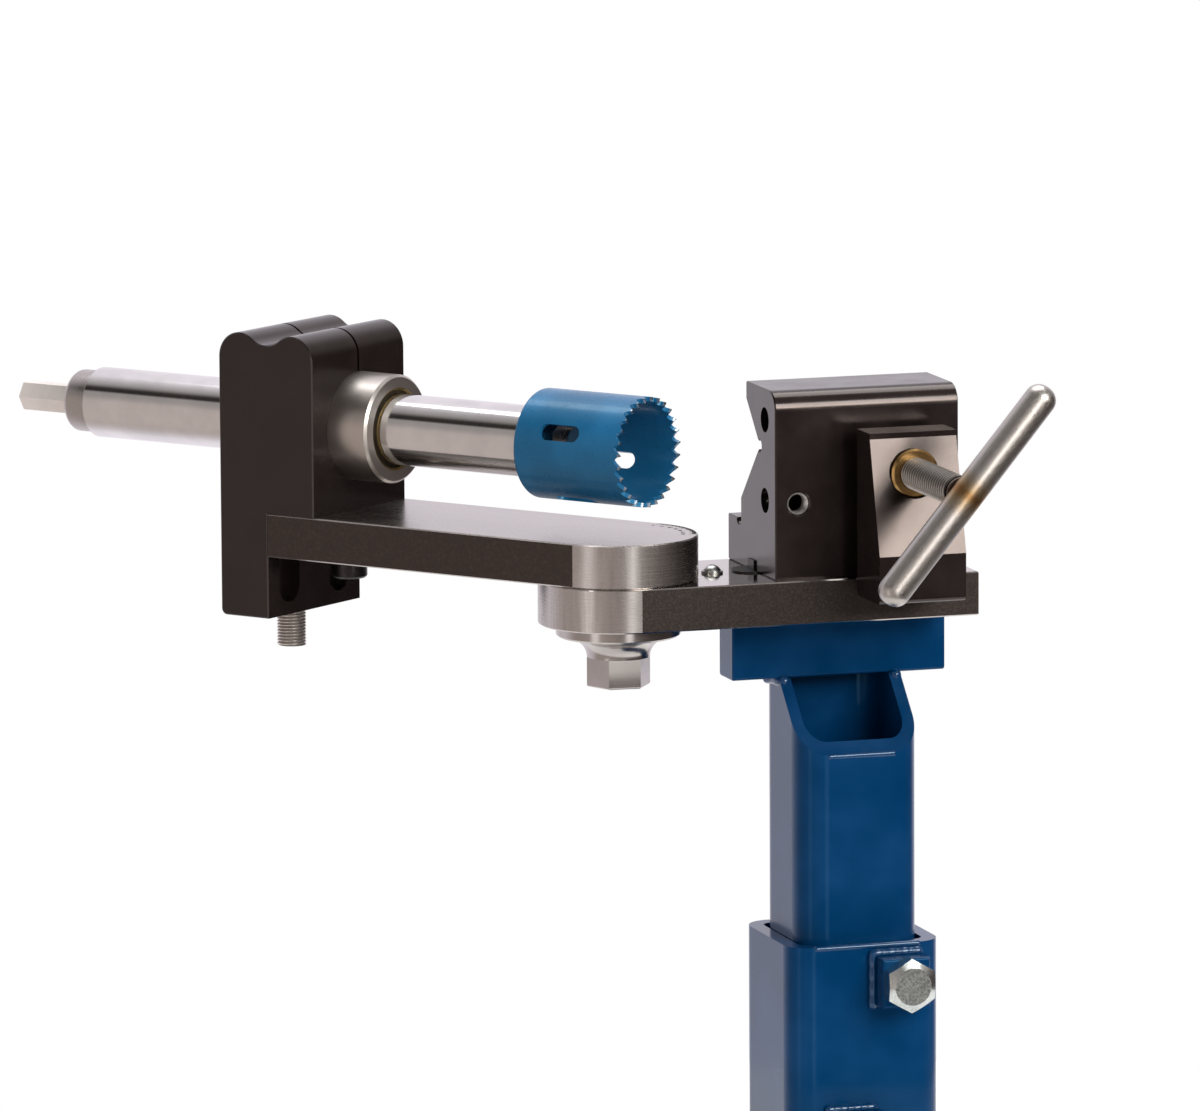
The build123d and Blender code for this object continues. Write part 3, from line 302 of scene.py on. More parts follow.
def plate_finish(name, ground, mill, turn, top_rough, speckle, contrast):
    """A ground plate. Its straight sides keep the mill's dark skin. Its round end is turned bright."""
    f = Finish(name, ground, metallic=1.0, roughness=0.25)
    here = f.object_space(PIVOT, (0, 0, -turn))
    upright = f.maths("LESS_THAN", f.facing("Z"), 0.4)
    straight = f.maths("GREATER_THAN", f.axis(here, "X"), 0.0)
    skin = f.maths("MULTIPLY", upright, straight)
    specks = f.noise(here, speckle, 5, 0.7)
    dark = f.blend(f.span(specks, 0.42, 0.75), mill, shade(mill, contrast))
    turned = f.noise(f.mapped(here, Scale=(3, 3, 2200)), 1, 2)
    brushed = f.noise(f.mapped(here, Scale=(40, 1100, 40)), 1, 4)
    bright = f.blend(f.span(brushed, 0.3, 0.7), shade(ground, 0.9), shade(ground, 1.08))
    f.link(f.blend(skin, bright, dark), "Base Color")
    f.link(f.mixed(skin, 1.0, 0.35), "Metallic")
    top = f.span(brushed, 0.3, 0.7, top_rough, top_rough + 0.05)
    polish = f.mixed(upright, top, f.span(turned, 0.3, 0.7, 0.24, 0.3))
    f.link(f.mixed(skin, polish, f.span(specks, 0.3, 0.7, 0.36, 0.48)), "Roughness")
    fine = f.mixed(upright, f.maths("MULTIPLY", brushed, 0.008), f.maths("MULTIPLY", turned, 0.0015))
    f.relief(f.mixed(skin, fine, f.maths("MULTIPLY", specks, 0.5)), 0.09 * MM, 0.5)
    return f.material


def turned_metal(name, colour, rough, line, fineness, depth, spread=0.06):
    """Metal with fine rings round a line."""
    f = Finish(name, colour, metallic=1.0, roughness=rough)
    here = f.object_space(*line)
    rings = f.noise(f.mapped(here, Scale=(fineness, 8, 8)), 1, 3)
    f.link(f.span(rings, 0.3, 0.7, rough - spread / 2, rough + spread / 2), "Roughness")
    tone = f.noise(here, 60, 3)
    f.link(f.blend(f.span(tone, 0.3, 0.7), shade(colour, 0.88), colour), "Base Color")
    f.relief(rings, depth, 0.6)
    return f.material


def lipped_seal(gold, lip):
    """A seal round the spindle: dark rubber as far out as the lip, inside a thin gilt shell."""
    f = Finish("lipped_seal", gold, roughness=0.4, IOR=1.15)
    here = f.object_space(*SPINDLE_LINE)
    shell = f.span(f.from_axis(here), lip, lip + 0.1 * MM)
    grime = f.noise(here, 500, 4, 0.7)
    rubber = f.blend(f.span(grime, 0.3, 0.7), (0.012, 0.009, 0.006), (0.03, 0.022, 0.012))
    f.link(f.blend(shell, rubber, gold), "Base Color")
    f.link(shell, "Metallic")
    f.link(f.mixed(shell, 0.55, 0.35), "Roughness")
    f.relief(grime, 0.02 * MM, 0.4)
    return f.material


def struck_head(colour):
    """A plated bolt head, finely mottled: its struck top rougher and its colour there darkened as painted
    shade, its chamfer and flats left bright.
    """
    f = Finish("struck_head", colour, metallic=1.0, roughness=0.26)
    spots = f.noise(f.object_space(), 1100, 5, 0.75)
    top = f.span(f.facing("Y"), 0.955, 0.985)
    # Painted shade: the top face's colour is darkened to between 0.22 and 0.85 of the plated colour.
    shaded_top = f.blend(f.span(spots, 0.38, 0.66), shade(colour, 0.22), shade(colour, 0.85))
    bright = f.blend(f.span(spots, 0.3, 0.7), shade(colour, 0.8), shade(colour, 1.15))
    f.link(f.blend(top, bright, shaded_top), "Base Color")
    f.link(f.mixed(top, 0.22, f.span(spots, 0.3, 0.7, 0.45, 0.28)), "Roughness")
    f.relief(spots, 0.05 * MM, 0.45)
    return f.material


def saw_enamel(colour, tips):
    """Scuffed enamel over the saw's cup, bare and bright on the teeth. The tips are a point on its axis."""
    f = Finish(
        "saw_enamel",
        colour,
        roughness=0.34,
        Specular_Tint=(0.25, 0.75, 1),
        Coat_Weight=0.2,
        Coat_Roughness=0.12,
    )
    here = f.object_space(tips, SPINDLE_LINE[1])
    scuff = f.noise(here, 420, 5, 0.7)
    bare = f.span(f.waver(f.axis(here, "X"), scuff, 2.2 * MM), 0.4 * MM, 0.9 * MM, 1.0, 0.0)
    tone = f.noise(here, 40, 4)
    paint = f.blend(f.span(tone, 0.3, 0.8), colour, shade(colour, 1.5, 0.004))
    paint = f.blend(f.span(scuff, 0.55, 0.8), paint, shade(colour, 0.8, 0.002))
    f.link(f.blend(bare, paint, (0.34, 0.38, 0.42)), "Base Color")
    f.link(f.mixed(bare, 0.0, 1.0), "Metallic")
    f.link(f.mixed(bare, f.span(scuff, 0.3, 0.7, 0.26, 0.4), 0.28), "Roughness")
    f.relief(scuff, 0.04 * MM, 0.35)
    return f.material


def blasted_stainless(colour, line):
    """Bead-blasted bar along a line, straw to brown where the weld's heat reached it."""
    f = Finish("blasted_stainless", colour, metallic=1.0, roughness=0.36)
    here = f.object_space(*line)
    pits = f.noise(here, 1500, 3, 0.6)
    reach = f.waver(f.maths("ABSOLUTE", f.axis(here, "X")), f.noise(here, 90, 3), 8 * MM)
    tinted = f.blend(f.span(reach, 2 * MM, 11 * MM, 1.0, 0.0), colour, (0.36, 0.26, 0.15))
    tinted = f.blend(f.span(reach, 0.0, 4 * MM, 1.0, 0.0), tinted, (0.28, 0.15, 0.06))
    f.link(tinted, "Base Color")
    f.link(f.span(pits, 0.3, 0.7, 0.28, 0.42), "Roughness")
    f.relief(pits, 0.03 * MM, 0.5)
    return f.material


def plated(name, colour, rough, mottle=700):
    """Plated or blackened fastener metal, finely mottled."""
    f = Finish(name, colour, metallic=1.0, roughness=rough)
    spots = f.noise(f.object_space(), mottle, 5, 0.7)
    f.link(f.blend(f.span(spots, 0.35, 0.7), shade(colour, 0.62), colour), "Base Color")
    f.link(f.span(spots, 0.3, 0.7, rough + 0.08, rough - 0.06), "Roughness")
    f.relief(spots, 0.04 * MM, 0.4)
    return f.material


def threaded_steel(name, colour, rough, line, radius, depth, root=0.05):
    """Steel whose thread is painted dark at the root, as shade in the groove, and rubbed bright at the crest.
    """
    f = Finish(name, colour, metallic=1.0, roughness=rough)
    here = f.object_space(*line)
    crest = f.span(f.from_axis(here), radius - 0.6 * depth, radius - 0.05 * depth)
    spots = f.noise(here, 900, 4, 0.7)
    rubbed = f.blend(f.span(spots, 0.3, 0.75), shade(colour, 0.8), colour)
    # Painted shade: below the crest the colour falls to the root share, darkening the thread's groove.
    f.link(f.blend(crest, shade(colour, root), rubbed), "Base Color")
    f.link(f.mixed(crest, 0.6, rough), "Roughness")
    f.relief(spots, 0.02 * MM, 0.4)
    return f.material


# ------------------------------------------------------------------ modelling helpers
def deselect():
    if bpy.context.mode != "OBJECT":
        bpy.ops.object.mode_set(mode="OBJECT")
    bpy.ops.object.select_all(action="DESELECT")


def pick(obj):
    """Makes a piece the only selected one, and the active one."""
    deselect()
    obj.select_set(True)
    bpy.context.view_layer.objects.active = obj


def draw_line(points):
    """A chain of edges through the points, each extruded from the one before."""
    deselect()
    bpy.ops.mesh.primitive_plane_add(size=MM)
    obj = bpy.context.object
    bpy.ops.object.mode_set(mode="EDIT")
    bpy.ops.mesh.select_mode(type="VERT")
    bpy.ops.mesh.select_all(action="SELECT")
    bpy.ops.mesh.merge(type="CENTER")
    places = [Vector(point) for point in points]
    bpy.ops.transform.translate(value=places[0])
    for start, end in zip(places, places[1:]):
        bpy.ops.mesh.extrude_vertices_move(TRANSFORM_OT_translate={"value": end - start})
    bpy.ops.object.mode_set(mode="OBJECT")
    return obj


def face_outwards(obj):
    """Turns the front of every face outwards."""
    pick(obj)
    bpy.ops.object.mode_set(mode="EDIT")
    bpy.ops.mesh.select_all(action="SELECT")
    bpy.ops.mesh.normals_make_consistent(inside=False)
    bpy.ops.object.mode_set(mode="OBJECT")


def close_seams(obj):
    """Joins points that touch, and turns the faces outwards."""
    pick(obj)
    bpy.ops.object.mode_set(mode="EDIT")
    bpy.ops.mesh.select_all(action="SELECT")
    bpy.ops.mesh.remove_doubles(threshold=2 * TOUCHING)
    bpy.ops.object.mode_set(mode="OBJECT")
    face_outwards(obj)


def fix(obj):
    """Carries a piece's place, turn and scale over into its mesh."""
    pick(obj)
    bpy.ops.object.transform_apply(location=True, rotation=True, scale=True)


def modify(obj, kind, **settings):
    """Adds a modifier with these settings and applies it."""
    pick(obj)
    modifier = obj.modifiers.new(kind.lower(), kind)
    for name, value in settings.items():
        setattr(modifier, name, value)
    bpy.ops.object.modifier_apply(modifier=modifier.name)


def wind(obj, turns=1, rise=0.0, steps=64):
    """Turns the line round Z, once for a turned part or more often, and rising, for a thread."""
    modify(
        obj,
        "SCREW",
        axis="Z",
        angle=math.tau,
        iterations=turns,
        screw_offset=rise,
        steps=steps,
        render_steps=steps,
        use_merge_vertices=True,
        merge_threshold=TOUCHING,
    )
    face_outwards(obj)
    return obj


def trim(obj, low, high):
    """Cuts a threaded length square at both ends and caps it."""
    pick(obj)
    bpy.ops.object.mode_set(mode="EDIT")
    for height, above in ((low, False), (high, True)):
        bpy.ops.mesh.select_all(action="SELECT")
        bpy.ops.mesh.bisect(
            plane_co=(0, 0, height),
            plane_no=(0, 0, 1),
            threshold=TOUCHING,
            use_fill=True,
            clear_inner=not above,
            clear_outer=above,
        )
    close_seams(obj)
    return obj


def threaded_rod(radius, pitch, long, share):
    """A rod along Z from 0, with a V thread whose depth is a share of its pitch."""
    root = radius - share * pitch
    flat = 0.12 * pitch
    turn = [
        (root, 0, 0),
        (root, 0, flat),
        (radius, 0, 0.5 * pitch),
        (radius, 0, 0.5 * pitch + flat),
        (root, 0, pitch),
    ]
    obj = wind(draw_line(turn), math.ceil(long / pitch) + 2, pitch, steps=40)
    obj.location.z = -pitch
    fix(obj)
    return trim(obj, 0, long)


def neck(obj, height, narrower, long):
    """Draws the flat end at the height out into a thinner, plain length, as a thread's relief."""
    pick(obj)
    bpy.ops.object.mode_set(mode="EDIT")
    bpy.ops.mesh.select_mode(type="FACE")
    bpy.ops.mesh.select_all(action="DESELECT")
    shape = bmesh.from_edit_mesh(obj.data)
    for face in shape.faces:
        face.select = face.normal.z > 0.99 and abs(face.calc_center_median().z - height) < 10 * TOUCHING
    if not any(face.select for face in shape.faces):
        raise RuntimeError("no flat end was found to draw a neck from")
    bmesh.update_edit_mesh(obj.data)
    bpy.ops.mesh.inset(thickness=narrower)
    bpy.ops.mesh.extrude_region_move(TRANSFORM_OT_translate={"value": (0, 0, long)})
    bpy.ops.mesh.select_mode(type="VERT")
    bpy.ops.object.mode_set(mode="OBJECT")


def turned_ring(points, steps=64):
    """A ring with the closed outline that the points give, turned round Z."""
    obj = wind(draw_line([*points, points[0]]), steps=steps)
    close_seams(obj)
    return obj


def tapped_lining(radius, pitch, long):
    """The wall of a tapped hole: ridges inside a thin sleeve, from 0 along Z."""
    root, crest = radius - 0.1 * pitch, radius - 0.62 * pitch
    outline = [(radius, 0, long), (radius, 0, 0), (root, 0, 0)]
    for turn in range(int(long / pitch)):
        outline.append((crest, 0, (turn + 0.5) * pitch))
        outline.append((root, 0, (turn + 0.97) * pitch))
    return turned_ring(outline)


def hexagonal_bar(flats, long, chamfer=0.0):
    """A hexagonal bar from 0 along Z. A chamfer rounds the edges of its upper end."""
    deselect()
    bpy.ops.mesh.primitive_circle_add(vertices=6, radius=flats / math.sqrt(3), fill_type="NGON")
    obj = bpy.context.object
    bpy.ops.object.mode_set(mode="EDIT")
    bpy.ops.mesh.select_all(action="SELECT")
    bpy.ops.mesh.extrude_region_move(TRANSFORM_OT_translate={"value": (0, 0, long)})
    if chamfer:
        bpy.ops.mesh.bevel(offset=chamfer, segments=3)
    face_outwards(obj)
    return obj


def aim(obj, start, direction):
    """Carries a piece made along Z from 0 to start, so that Z points along direction, and fixes it there."""
    turn = Vector(direction).to_track_quat("Z", "Y").to_matrix().to_4x4()
    obj.matrix_world = Matrix.Translation(start) @ turn
    fix(obj)
    return obj


def join(parts):
    """Joins pieces into the first of them."""
    deselect()
    for part in parts:
        part.select_set(True)
    bpy.context.view_layer.objects.active = parts[0]
    if len(parts) > 1:
        bpy.ops.object.join()
    return parts[0]


def smooth(obj, angle):
    """Shades a piece smoothly, but for edges that bend by more than an angle in degrees."""
    pick(obj)
    bpy.ops.object.shade_smooth_by_angle(angle=math.radians(angle))


def hand_over(obj, name, body, material, slot, *stands_for):
    """Names a finished piece, gives it its finish and lets it ride on its body."""
    obj.name = name
    obj.data.name = name
    obj.data.materials.clear()
    obj.data.materials.append(material)
    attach(obj, body)
    if stands_for:
        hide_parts(*stands_for)


def weld_bead(start, end, radius, pitch, seed):
    """A laid bead: overlapping drops from start to end, melted together."""
    start, end = Vector(start), Vector(end)
    count = max(2, round((end - start).length / pitch))
    drops = []
    for step in range(count + 1):
        swell = 1.0 + 0.1 * math.sin(7.3 * step + 1.9 * seed)
        place = start.lerp(end, step / count)
        deselect()
        bpy.ops.mesh.primitive_ico_sphere_add(subdivisions=2, radius=radius * swell, location=place)
        drops.append(bpy.context.object)
    bead = join(drops)
    fix(bead)
    modify(bead, "REMESH", mode="VOXEL", voxel_size=0.45 * MM)
    modify(bead, "SMOOTH", factor=0.5, iterations=9)
    bpy.ops.object.shade_smooth()
    return bead


# ------------------------------------------------------------------ operators
class NOTCHER_OT_paintwork(bpy.types.Operator):
    """Paints the post, its bar, the receiver and the foot"""

    bl_idname = "notcher.paintwork"
    bl_label = "Paintwork"

    def execute(self, context):
        paint = gloss_paint("gloss_paint", context.scene.notcher_paint.post, 0.12)
        dress(paint, "foot_plate", "receiver_tube", "lock_nuts", "post_tube", "top_bar")
        return {"FINISHED"}


class NOTCHER_OT_anodising(bpy.types.Operator):
    """Anodises the blocks and the clamp yoke"""

    bl_idname = "notcher.anodising"
    bl_label = "Anodised parts"

    def execute(self, context):
        black = black_anodised(context.scene.notcher_paint.anodised)
        dress(black, "v_block", "spindle_block", "clamp_yoke")
        return {"FINISHED"}


class NOTCHER_OT_plates(bpy.types.Operator):
    """Finishes the base plate, the arm and the pivot bolt"""

    bl_idname = "notcher.plates"
    bl_label = "Plates and pivot"

    def execute(self, context):
        metal = context.scene.notcher_metal
        base = plate_finish(
            "base_finish", metal.ground, metal.mill, turn=0.0, top_rough=0.07, speckle=1300, contrast=3.2
        )
        dress(base, "base_plate")
        mill = shade(metal.mill, 1.9)
        arm = plate_finish(
            "arm_finish", metal.ground, mill, turn=ARM_TURN, top_rough=0.24, speckle=900, contrast=1.7
        )
        dress(arm, "arm_plate")
        self.pivot_bolt(turned_metal("turned_pivot", metal.ground, 0.2, PIVOT_LINE, 1900, 0.003 * MM))
        return {"FINISHED"}

    def pivot_bolt(self, finish):
        """The bolt the arm swings on: flange, hollowed collar and hexagon, turned and milled from one bar."""
        low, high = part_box("pivot_bolt")
        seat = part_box("base_plate")[0].z - 0.1 * MM
        edge, under = seat - 4.3 * MM, seat - 5.1 * MM
        flange, shank, waist = (high.x - low.x) / 2, 9.5 * MM, 12.5 * MM
        edge_break, shelf = 0.9 * MM, 1.2 * MM
        flats, hex_long, chamfer, hex_turn = 22.2 * MM, 11.8 * MM, 0.8 * MM, math.radians(-34.4)
        neck_low = low.z + hex_long
        outline = [(0, 0, high.z), (shank, 0, high.z), (shank, 0, seat), (flange, 0, seat)]
        outline += [(flange, 0, edge), (flange - edge_break, 0, under)]
        for step in range(11):
            turn = step * math.pi / 20
            hollow = waist + (flange - shelf - waist) * (1 - math.sin(turn))
            outline.append((hollow, 0, under - (under - neck_low) * (1 - math.cos(turn))))
        body = wind(draw_line([*outline, (0, 0, neck_low)]), steps=96)
        head = hexagonal_bar(flats, hex_long, chamfer)
        upside_down = Matrix.Translation((0, 0, neck_low)) @ Matrix.Rotation(math.pi, 4, "X")
        head.matrix_world = Matrix.Rotation(hex_turn, 4, "Z") @ upside_down
        piece = join([body, head])
        piece.location = (PIVOT.x, PIVOT.y, 0)
        fix(piece)
        face_outwards(piece)
        smooth(piece, 28)
        hand_over(piece, "turned_pivot_bolt", "pivot_bolt_body", finish, "ground_steel", "pivot_bolt")


class NOTCHER_OT_spindle(bpy.types.Operator):
    """Finishes the shaft, its drive end, the bearing and the hole saw"""

    bl_idname = "notcher.spindle"
    bl_label = "Spindle and saw"

    def execute(self, context):
        metal, sizes = context.scene.notcher_metal, context.scene.notcher_drive
        shaft = turned_metal("polished_shaft", metal.polished, 0.12, SPINDLE_LINE, 2500, 0.0003 * MM, 0.03)
        self.shaft(sizes, shaft)
        drive = turned_metal("turned_drive", metal.ground, 0.27, SPINDLE_LINE, 2000, 0.004 * MM)
        dress(drive, "saw_arbor")
        self.drive_end(sizes, drive)
        race_colour = (0.58, 0.54, 0.505)
        race = turned_metal("bearing_steel", race_colour, 0.32, SPINDLE_LINE, 2200, 0.002 * MM, 0.05)
        dress(race, "bearing_sleeve", "bearing_rollers_front", "bearing_rollers_rear")
        dress(lipped_seal((0.42, 0.30, 0.12), SHAFT_RADIUS + 1.5 * MM), "bearing_seals")
        teeth_from_pivot = -15.4 * MM
        dress(saw_enamel(context.scene.notcher_paint.saw, self.on_axis(teeth_from_pivot)), "hole_saw")
        return {"FINISHED"}

    def shaft(self, sizes, finish):
        """The polished bar, bored for the core that turns the saw."""
        near, far = along_arm("spindle_shaft")
        long = far - sizes.set_back - near
        radius, bore, break_edge = SHAFT_RADIUS, 7.6 * MM, 1.6 * MM
        outline = [
            (bore, 0, 0),
            (radius - break_edge, 0, 0),
            (radius, 0, break_edge),
            (radius, 0, long - break_edge),
            (radius - break_edge, 0, long),
            (bore, 0, long),
        ]
        bar = aim(turned_ring(outline, 128), self.on_axis(near), SPINDLE_AXIS)
        smooth(bar, 25)
        hand_over(bar, "polished_spindle", "shaft", finish, "polished_shaft", "spindle_shaft")

    def drive_end(self, sizes, finish):
        """The collar and the hexagon that a drill holds."""
        start = along_arm("spindle_shaft")[1] - sizes.set_back
        radius, long, soft, gap = 12.6 * MM, sizes.collar_length, 2.0 * MM, 0.02 * MM
        outline = [(0, 0, gap), (radius, 0, gap)]
        for step in range(5):
            turn = step * math.pi / 8
            outline.append((radius - soft + soft * math.cos(turn), 0, long - soft + soft * math.sin(turn)))
        collar = wind(draw_line([*outline, (0, 0, long)]), steps=96)
        aim(collar, self.on_axis(start), SPINDLE_AXIS)
        smooth(collar, 30)
        hand_over(collar, "turned_collar", "spindle", finish, "ground_steel", "drive_collar")
        hexagon = hexagonal_bar(sizes.hex_flats, sizes.hex_length, 0.9 * MM)
        hexagon.rotation_euler = (0, 0, math.radians(30))
        fix(hexagon)
        aim(hexagon, self.on_axis(start + long), SPINDLE_AXIS)
        smooth(hexagon, 20)
        milled = turned_metal("milled_drive", (0.90, 0.86, 0.80), 0.52, SPINDLE_LINE, 1200, 0.003 * MM)
        hand_over(hexagon, "milled_hexagon", "spindle", milled, "ground_steel", "drive_hex")

    def on_axis(self, along):
        """The point on the spindle's axis that is as far along the arm."""
        return arm_place(along, 0, SPINDLE_POINT.z - PIVOT.z)


class NOTCHER_OT_clamp(bpy.types.Operator):
    """Threads the clamp screw and finishes the nut and the T-handle"""

    bl_idname = "notcher.clamp"
    bl_label = "Clamp screw"

    def execute(self, context):
        metal, threads = context.scene.notcher_metal, context.scene.notcher_threads
        lo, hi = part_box("clamp_screw")
        radius, long = (hi.x - lo.x) / 2, hi.y - lo.y
        depth = threads.depth * threads.clamp_pitch
        dark = threaded_steel("screw_steel", (0.42, 0.39, 0.36), 0.3, SCREW_LINE, radius, depth)
        relief = threads.relief + self.handle_radius()
        rod = threaded_rod(radius, threads.clamp_pitch, long - relief, threads.depth)
        neck(rod, long - relief, 1.1 * depth, relief)
        aim(rod, Vector((SCREW_POINT.x, hi.y, SCREW_POINT.z)), (0, -1, 0))
        smooth(rod, 20)
        hand_over(rod, "clamp_screw_thread", "screw", dark, "black_oxide", "clamp_screw")
        brass = turned_metal("turned_brass", metal.brass, 0.24, SCREW_LINE, 1800, 0.004 * MM)
        dress(brass, "clamp_nut")
        lo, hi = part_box("tee_bar")
        slope = math.atan2(hi.z - lo.z, hi.x - lo.x)
        handle = blasted_stainless(metal.stainless, ((lo + hi) / 2, (0, slope, 0)))
        dress(handle, "tee_bar")
        burnt = plated("burnt_weld", (0.16, 0.12, 0.10), 0.42, 1200)
        hand_over(self.fillet(), "tee_weld_fillet", "screw", burnt, "stainless", "tee_weld")
        return {"FINISHED"}

    def fillet(self):
        """The weld round the screw's end, where the T-handle begins. Its outline is given in millimetres."""
        bore, foot, top, set_back = 2.5, -1.0, 2.6, 2.2
        bulge = ((5.1, foot), (5.3, 0), (5.8, 0.8), (6.3, 1.9), (6.1, top))
        outline = [(out * MM, 0, up * MM) for out, up in ((bore, foot), *bulge, (bore, top))]
        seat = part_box("clamp_screw")[0].y + self.handle_radius() + set_back * MM
        bead = aim(turned_ring(outline), (SCREW_POINT.x, seat, SCREW_POINT.z), (0, -1, 0))
        smooth(bead, 50)
        return bead

    def handle_radius(self):
        lo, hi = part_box("tee_bar")
        return (hi.y - lo.y) / 2


class NOTCHER_OT_fasteners(bpy.types.Operator):
    """Finishes the bolts and screws, and threads the stud and the V-block's tapped hole"""

    bl_idname = "notcher.fasteners"
    bl_label = "Fasteners"

    def execute(self, context):
        metal, threads = context.scene.notcher_metal, context.scene.notcher_threads
        zinc = plated("zinc_plate", metal.zinc, 0.3)
        dress(zinc, "pointer_screw", "stud_washer")
        shaded_head_finish = struck_head((0.60, 0.63, 0.61))
        for place in ("upper", "lower"):
            bolt = self.hexagon_bolt(*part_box("lock_bolt_" + place))
            name, body, node = place + "_hexagon_bolt", place + "_bolt", "lock_bolt_" + place
            hand_over(bolt, name, body, shaded_head_finish, "zinc_steel", node)
        black = plated("black_oxide", (0.055, 0.05, 0.05), 0.36)
        dress(black, "bar_screws", "v_block_screws", "pinch_screws", "end_screws", "foot_screw")
        dress(black, "pointer_disc", "pointer_blade")
        self.stud(threads)
        self.tapped_hole(threads)
        return {"FINISHED"}

    def stud(self, threads):
        """The stud under the spindle block, a little stouter than the solid that it stands for."""
        lo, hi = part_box("block_stud")
        foot = Vector(((lo.x + hi.x) / 2, (lo.y + hi.y) / 2, lo.z))
        threaded, neck_radius, stouter = 14.3 * MM, 4.7 * MM, 0.45 * MM
        radius, depth = (hi.x - lo.x) / 2 + stouter, threads.depth * threads.stud_pitch
        stud = threaded_rod(radius, threads.stud_pitch, threaded, threads.depth)
        neck(stud, threaded, radius - depth - neck_radius, hi.z - lo.z - threaded)
        aim(stud, foot, (0, 0, 1))
        smooth(stud, 20)
        line = (foot, PIVOT_LINE[1])
        steel = threaded_steel("stud_steel", (0.92, 0.86, 0.80), 0.3, line, radius, depth, 0.4)
        hand_over(stud, "stud_thread", "arm", steel, "zinc_steel", "block_stud")

    def tapped_hole(self, threads):
        """The thread in the hole in the V-block's front."""
        along, up, inset, radius, long = 65.7 * MM, 30.2 * MM, 0.7 * MM, 4.32 * MM, 6.3 * MM
        mouth = Vector((PIVOT.x + along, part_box("v_block")[0].y + inset, PIVOT.z + up))
        lining = aim(tapped_lining(radius, threads.hole_pitch, long), mouth, (0, 1, 0))
        smooth(lining, 20)
        bare = plated("bare_thread", (0.62, 0.60, 0.58), 0.32, 1100)
        hand_over(lining, "rod_hole_thread", "head", bare, "ground_steel")

    def hexagon_bolt(self, low, high):
        """A bolt through the receiver's front. The points of its head are turned off at 30 degrees."""
        flats, head, face, wide = 19.05 * MM, 8.0 * MM, 7.5 * MM, 12 * MM
        shank, soft, sunk = 6.35 * MM, 1.0 * MM, 1 * MM
        long = high.y - low.y
        back = long - head
        slope = long - (wide - face) * math.tan(math.radians(30))
        cone = [(0, 0, 0), (wide, 0, 0), (wide, 0, slope), (face, 0, long), (0, 0, long)]
        turned = wind(draw_line(cone), steps=96)
        blank = hexagonal_bar(flats, head)
        blank.location.z = back
        fix(blank)
        modify(blank, "BOOLEAN", operation="INTERSECT", solver="EXACT", object=turned)
        pick(turned)
        bpy.ops.object.delete()
        inner = back + sunk
        stem = [(0, 0, 0), (shank - soft, 0, 0), (shank, 0, soft), (shank, 0, inner), (0, 0, inner)]
        bolt = join([blank, wind(draw_line(stem), steps=48)])
        face_outwards(bolt)
        middle = (low + high) / 2
        aim(bolt, Vector((middle.x, high.y, middle.z)), (0, -1, 0))
        smooth(bolt, 20)
        return bolt


